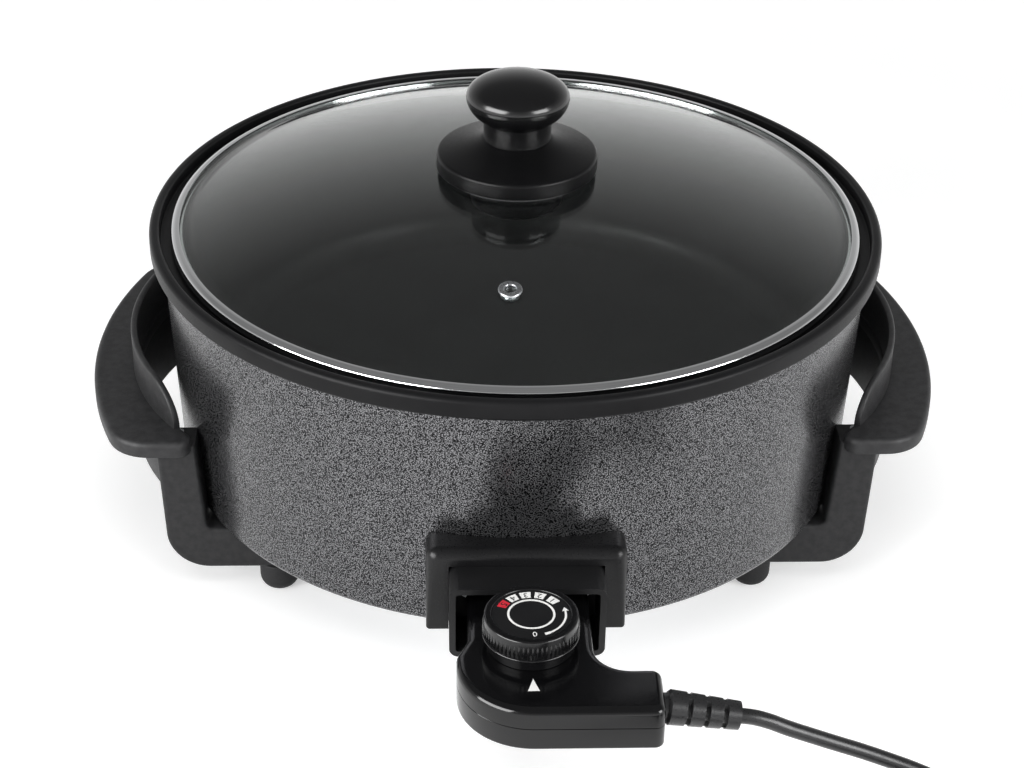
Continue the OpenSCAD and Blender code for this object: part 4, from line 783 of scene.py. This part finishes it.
def controlOutline(c):
    # counter-clockwise from the back right corner
    r = c["edge"] + 0.9
    out = arcPoints(c["neck"] - r, c["back"] - r, r, 0, 90, 6) + arcPoints(-c["neck"] + r, c["back"] - r, r, 90, 180, 6)
    out += [(-c["neck"], c["shoulder"] + 0.8), (-c["neck"] - 0.3, c["shoulder"] - 0.7),
            (c["left"] + 0.3, c["shoulderEnd"] + 0.7), (c["left"], c["shoulderEnd"] - 0.8)]
    out += arcPoints(c["left"] + c["corner"], c["front"] + c["corner"], c["corner"], 180, 270, 24)
    out += arcPoints(c["arm"] - r, c["front"] + r, r, 270, 360, 6)
    out += arcPoints(c["arm"] - r, c["armBack"] - r, r, 0, 90, 6)
    out += arcPoints(c["neck"] + c["hollow"], c["armBack"] + c["hollow"], c["hollow"], 270, 180, 10)
    return out


def shellMesh(c, seam, face, inner, edge):
    # half of the housing: open at the seam, round at its outer edge
    up = 1 if face > seam else -1
    outline = controlOutline(c)
    inside = drawIn(outline, c["wall"])
    levels = [(drawIn(outline, c["wall"] + 0.5), inner), (inside, inner), (inside, seam), (drawIn(outline, 0.15), seam),
              (outline, seam + up * 0.15)]
    for i in range(8):
        a = math.pi / 2 * i / 7
        levels.append((drawIn(outline, edge * (1 - math.cos(a))), face - up * edge * (1 - math.sin(a))))
    levels.append((drawIn(outline, edge + 0.4), face))
    return loftMesh([[(x, y, z) for x, y in loop] for loop, z in levels])


def makeControl(c):
    upper = shellMesh(c, c["seam"] + 0.05, c["top"], c["top"] - c["wall"], c["edge"])
    makePiece("controlUpper", upper, finishes["controlPlastic"], "control", ["control_upper"])
    lower = shellMesh(c, c["seam"] - 0.05, c["low"], c["low"] + c["wall"], c["lowEdge"])
    makePiece("controlLower", lower, finishes["controlPlastic"], "control", ["control_lower"])
    tip, base, half = c["pointer"]
    mark = [(0.1, tip), (-half, base), (half + 0.2, base)]
    bm = loftMesh([[(x, y, c["top"] + z) for x, y in mark] for z in (-0.02, 0.06)])
    makePiece("dialPointer", bm, finishes["printWhite"], "control", ())


makeControl(control)

dial = {"at": -208.0044, "low": 70.3, "step": 4.8, "stepRadius": 17.5, "radius": 19.3, "height": 9.7, "bore": 3.05,
        "flutes": 64, "flute": 0.5, "plate": 15.7, "plateDrop": 0.4, "plateThick": 1.2,
        # how far a flute is sunk, and its height over the rim's lower edge
        "fluteLevels": ((0.5, 1.0), (0, 1.5), (0.1, 5.8), (0.6, 7.3))}
dialPrint = {"ring": (8.6, 9.5), "boxes": (10.6, 14.3), "boxHalf": 9.6, "numbers": (45, 72, 98.5, 124, 149),
             "digit": 3.9, "zero": (-86, 13), "arrow": (-69, 9, 18), "arrowAt": 13.6, "thick": 0.07}


def makeDial(d):
    low, top = d["low"] + d["step"], d["low"] + d["step"] + d["height"]
    core = d["radius"] - d["flute"]
    floor = top - d["plateDrop"] - d["plateThick"]
    profile = [(d["bore"], d["low"]), (d["stepRadius"], d["low"]), (d["stepRadius"], low)]
    profile += arcPoints(d["radius"] - 0.5, low + 0.5, 0.5, -90, 90, 6) + [(core, low + 1.3)]
    profile += arcPoints(core - 0.8, top - 0.8, 0.8, 0, 90, 6) + arcPoints(d["plate"] + 0.5, top - 0.5, 0.5, 90, 180, 4)
    profile += [(d["plate"], floor), (d["bore"], floor)]
    bm = turnMesh(latheMesh(profile, 120), Matrix.Translation((0, d["at"] * mm, 0)))
    makePiece("dialKnob", bm, finishes["dialPlastic"], "dial", ["dial_knob"])
    half = math.pi * core / d["flutes"] * 0.72
    ridge = [(core - 0.3, -half), (core + d["flute"] * 0.75, -half * 0.5), (core + d["flute"], 0),
             (core + d["flute"] * 0.75, half * 0.5), (core - 0.3, half)]
    loops = [[(x - sunk, y, low + z) for x, y in ridge] for sunk, z in d["fluteLevels"]]
    piece = growPiece("dialFlutes", loftMesh(loops), trees["ring"], {
        "Count": d["flutes"], "Finish": finishes["dialPlastic"]}, 50, (0, d["at"], 0))
    settle(piece, "dial", ())
    out, face = d["plate"] - 0.1, floor + d["plateThick"]
    plate = [(0, floor), (out, floor), (out, face), (0, face)]
    bm = turnMesh(latheMesh(plate, 96), Matrix.Translation((0, d["at"] * mm, 0)))
    makePiece("dialPlate", bm, finishes["dialPlate"], "dial", ["dial_face"])


def sectorOutline(r0, r1, a0, a1, n=12):
    return arcPoints(0, 0, r1, a0, a1, n) + arcPoints(0, 0, r0, a1, a0, n)


def digitMesh(digit, size, place):
    letters = bpy.data.curves.new("digit", "FONT")
    letters.body = digit
    letters.size = size * mm
    letters.extrude = 0.03 * mm
    letters.align_x = "CENTER"
    letters.align_y = "CENTER"
    holder = bpy.data.objects.new("digit", letters)
    scene.collection.objects.link(holder)
    mesh = bpy.data.meshes.new_from_object(holder.evaluated_get(bpy.context.evaluated_depsgraph_get()))
    bpy.data.objects.remove(holder)
    bpy.data.curves.remove(letters)
    bm = bmesh.new()
    bm.from_mesh(mesh)
    bpy.data.meshes.remove(mesh)
    bmesh.ops.remove_doubles(bm, verts=bm.verts, dist=1e-7)
    return turnMesh(bm, place)


def dialPlace(angle, r, z):
    # a digit's top points to the axis, so that it reads upright at the pointer
    return (Matrix.Translation((0, dial["at"] * mm, z * mm)) @ Matrix.Rotation(math.radians(angle + 90), 4, "Z")
            @ Matrix.Translation((0, -r * mm, 0)))


def makeDialPrint(p):
    face = dial["low"] + dial["step"] + dial["height"] - dial["plateDrop"]
    low, high = face - 0.02, face + p["thick"]
    onDial = Matrix.Translation((0, dial["at"] * mm, 0))

    def slab(outline):
        return turnMesh(loftMesh([[(x, y, z) for x, y in outline] for z in (low, high)]), onDial)

    r0, r1 = p["ring"]
    white = [turnMesh(latheMesh([(r0, low), (r1, low), (r1, high), (r0, high)], 96), onDial)]
    b0, b1 = p["boxes"]
    boxes = [slab(sectorOutline(b0, b1, a - p["boxHalf"], a + p["boxHalf"])) for a in p["numbers"]]
    start, neck, tip = p["arrow"]
    at = p["arrowAt"]
    thin = [start + 11 + (neck - start - 11) * i / 20 for i in range(21)]
    outer, inner = ([(at + 0.65 * s, start), (at + 0.65 * s, start + 9)] + [(at + 0.42 * s, a) for a in thin]
                    for s in (1, -1))
    stroke = outer + [(at + 1.4, neck - 1.5), (at + 0.2, tip), (at - 1.3, neck - 1.5)] + inner[::-1]
    white += boxes[:-1] + [slab([(r * math.cos(math.radians(a)), r * math.sin(math.radians(a))) for r, a in stroke])]
    angle, r = p["zero"]
    white.append(digitMesh("0", p["digit"], dialPlace(angle, r, high)))
    makePiece("dialMarks", joinMeshes(*white), finishes["printWhite"], "dial", ())
    makePiece("dialTopMark", boxes[-1], finishes["printRed"], "dial", ())
    middle = (b0 + b1) / 2
    digits = [digitMesh(str(i + 1), p["digit"], dialPlace(a, middle, high + 0.02)) for i, a in enumerate(p["numbers"])]
    makePiece("dialDigits", joinMeshes(*digits), finishes["printDark"], "dial", ())


makeDial(dial)
makeDialPrint(dialPrint)
makePiece("strainRelief", nodeCopy("strain_relief"), finishes["cordRubber"], "control", ["strain_relief"])
print("control made")


# nodes that keep their CAD shape
nodeFinishes = {
    "steel": ["pan_studs", "base_nuts", "socket_screws", "handle_screws", "leg_screws", "leg_nuts", "knob_screw",
              "sensor_probe", "housing_screws", "plug_pins", "plug_earth_clips", "dial_spindle", "probe_guide"],
    "baseSheet": ["base_plate"], "elementSheath": ["heating_element"], "brass": ["terminal_pins", "contact_sleeves"],
    "copper": ["earth_strip", "earth_contact", "bimetal_blade", "contact_arm"],
    "ceramic": ["terminal_block", "thermostat_base"], "gasketRubber": ["knob_gasket"],
    "cordRubber": ["cord_clamp", "plug_body"],
}
for finishName, names in nodeFinishes.items():
    for name in names:
        nodes[name].data.materials.clear()
        nodes[name].data.materials.append(finishes[finishName])
print("inner nodes finished")


# floor and light
studio = {"floor": "e9e9e9", "glow": 0.4, "horizon": 1.0, "zenith": 0.2, "high": 0.6, "fill": 0.45,
          "fade": (0.6, 2.2), "aim": (0, 0, 0.1)}
lamps = {
    # power, place and size; a box lights what is matte, a window is only mirrored
    "topBox": (9, (0, 0.25, 1.7), (1.6, 1.2)),
    "leftBox": (19, (-1.09, -0.98, 0.6), (0.8, 0.75)),
    "rightBox": (17.1, (1.09, -0.98, 0.6), (0.8, 0.75)),
    "leftWindow": (42, (-1.15, -0.9, 0.66), (1.35, 0.8)),
    "rightWindow": (21, (1.12, -0.95, 0.64), (0.9, 0.7)),
    "frontBox": (8, (-0.1, -0.95, 1.35), (1.3, 0.5)),
}


def makeFloor(s):
    bm = bmesh.new()
    bmesh.ops.create_grid(bm, x_segments=1, y_segments=1, size=6)
    mesh = bpy.data.meshes.new("floor")
    bm.to_mesh(mesh)
    bm.free()
    floor = bpy.data.objects.new("floor", mesh)
    scene.collection.objects.link(floor)
    finish, tree, shader, place = startFinish("floorPaper")
    ray = addNode(tree, "ShaderNodeLightPath")
    seen = addMath(tree, "MAXIMUM", ray.outputs["Is Camera Ray"], ray.outputs["Is Glossy Ray"])
    seen = addMath(tree, "MAXIMUM", seen, ray.outputs["Is Transmission Ray"])
    # the far floor glows more, so that it is as white as the floor under the lamps
    near, far = s["fade"]
    glow = addRange(tree, addLength(tree, place), From_Min=near, From_Max=far, To_Min=s["glow"], To_Max=1)
    feed(tree, shader, Base_Color=tone(s["floor"]), Roughness=0.9, Specular_IOR_Level=0, Emission_Color=(1, 1, 1, 1),
         Emission_Strength=addMath(tree, "MULTIPLY", seen, glow))
    mesh.materials.append(finish)


def makeLamp(name, power, at, size, aim):
    lamp = bpy.data.lights.new(name, "AREA")
    lamp.shape = "RECTANGLE"
    lamp.size, lamp.size_y = size
    lamp.energy = power
    holder = bpy.data.objects.new(name, lamp)
    scene.collection.objects.link(holder)
    holder.location = at
    mirrored = name.endswith("Window")
    holder.visible_glossy = mirrored
    holder.visible_transmission = mirrored
    holder.visible_diffuse = not mirrored
    holder.rotation_euler = (Vector(aim) - Vector(at)).to_track_quat("-Z", "Y").to_euler()


def makeLight(s):
    # white where it is seen; as a mirror image pale at the horizon and dark overhead, and weaker as light
    world = bpy.data.worlds.new("studio")
    scene.world = world
    world.use_nodes = True
    tree = world.node_tree
    sky = tree.nodes["Background"]
    sky.inputs["Color"].default_value = (1, 1, 1, 1)
    way = addNode(tree, "ShaderNodeSeparateXYZ", Vector=addNode(tree, "ShaderNodeTexCoord").outputs["Generated"])
    fade = addRange(tree, way.outputs["Z"], From_Max=s["high"], To_Min=s["horizon"], To_Max=s["zenith"])
    ray = addNode(tree, "ShaderNodeLightPath")
    level = addRange(tree, ray.outputs["Is Diffuse Ray"], To_Min=1, To_Max=s["fill"])
    strength = addMath(tree, "MAXIMUM", addMath(tree, "MULTIPLY", fade, level), ray.outputs["Is Camera Ray"])
    feed(tree, sky, Strength=strength)
    for name, (power, at, size) in lamps.items():
        makeLamp(name, power, at, size, s["aim"])
    scene.view_settings.view_transform = "Standard"


makeFloor(studio)
makeLight(studio)
print("floor and light set")
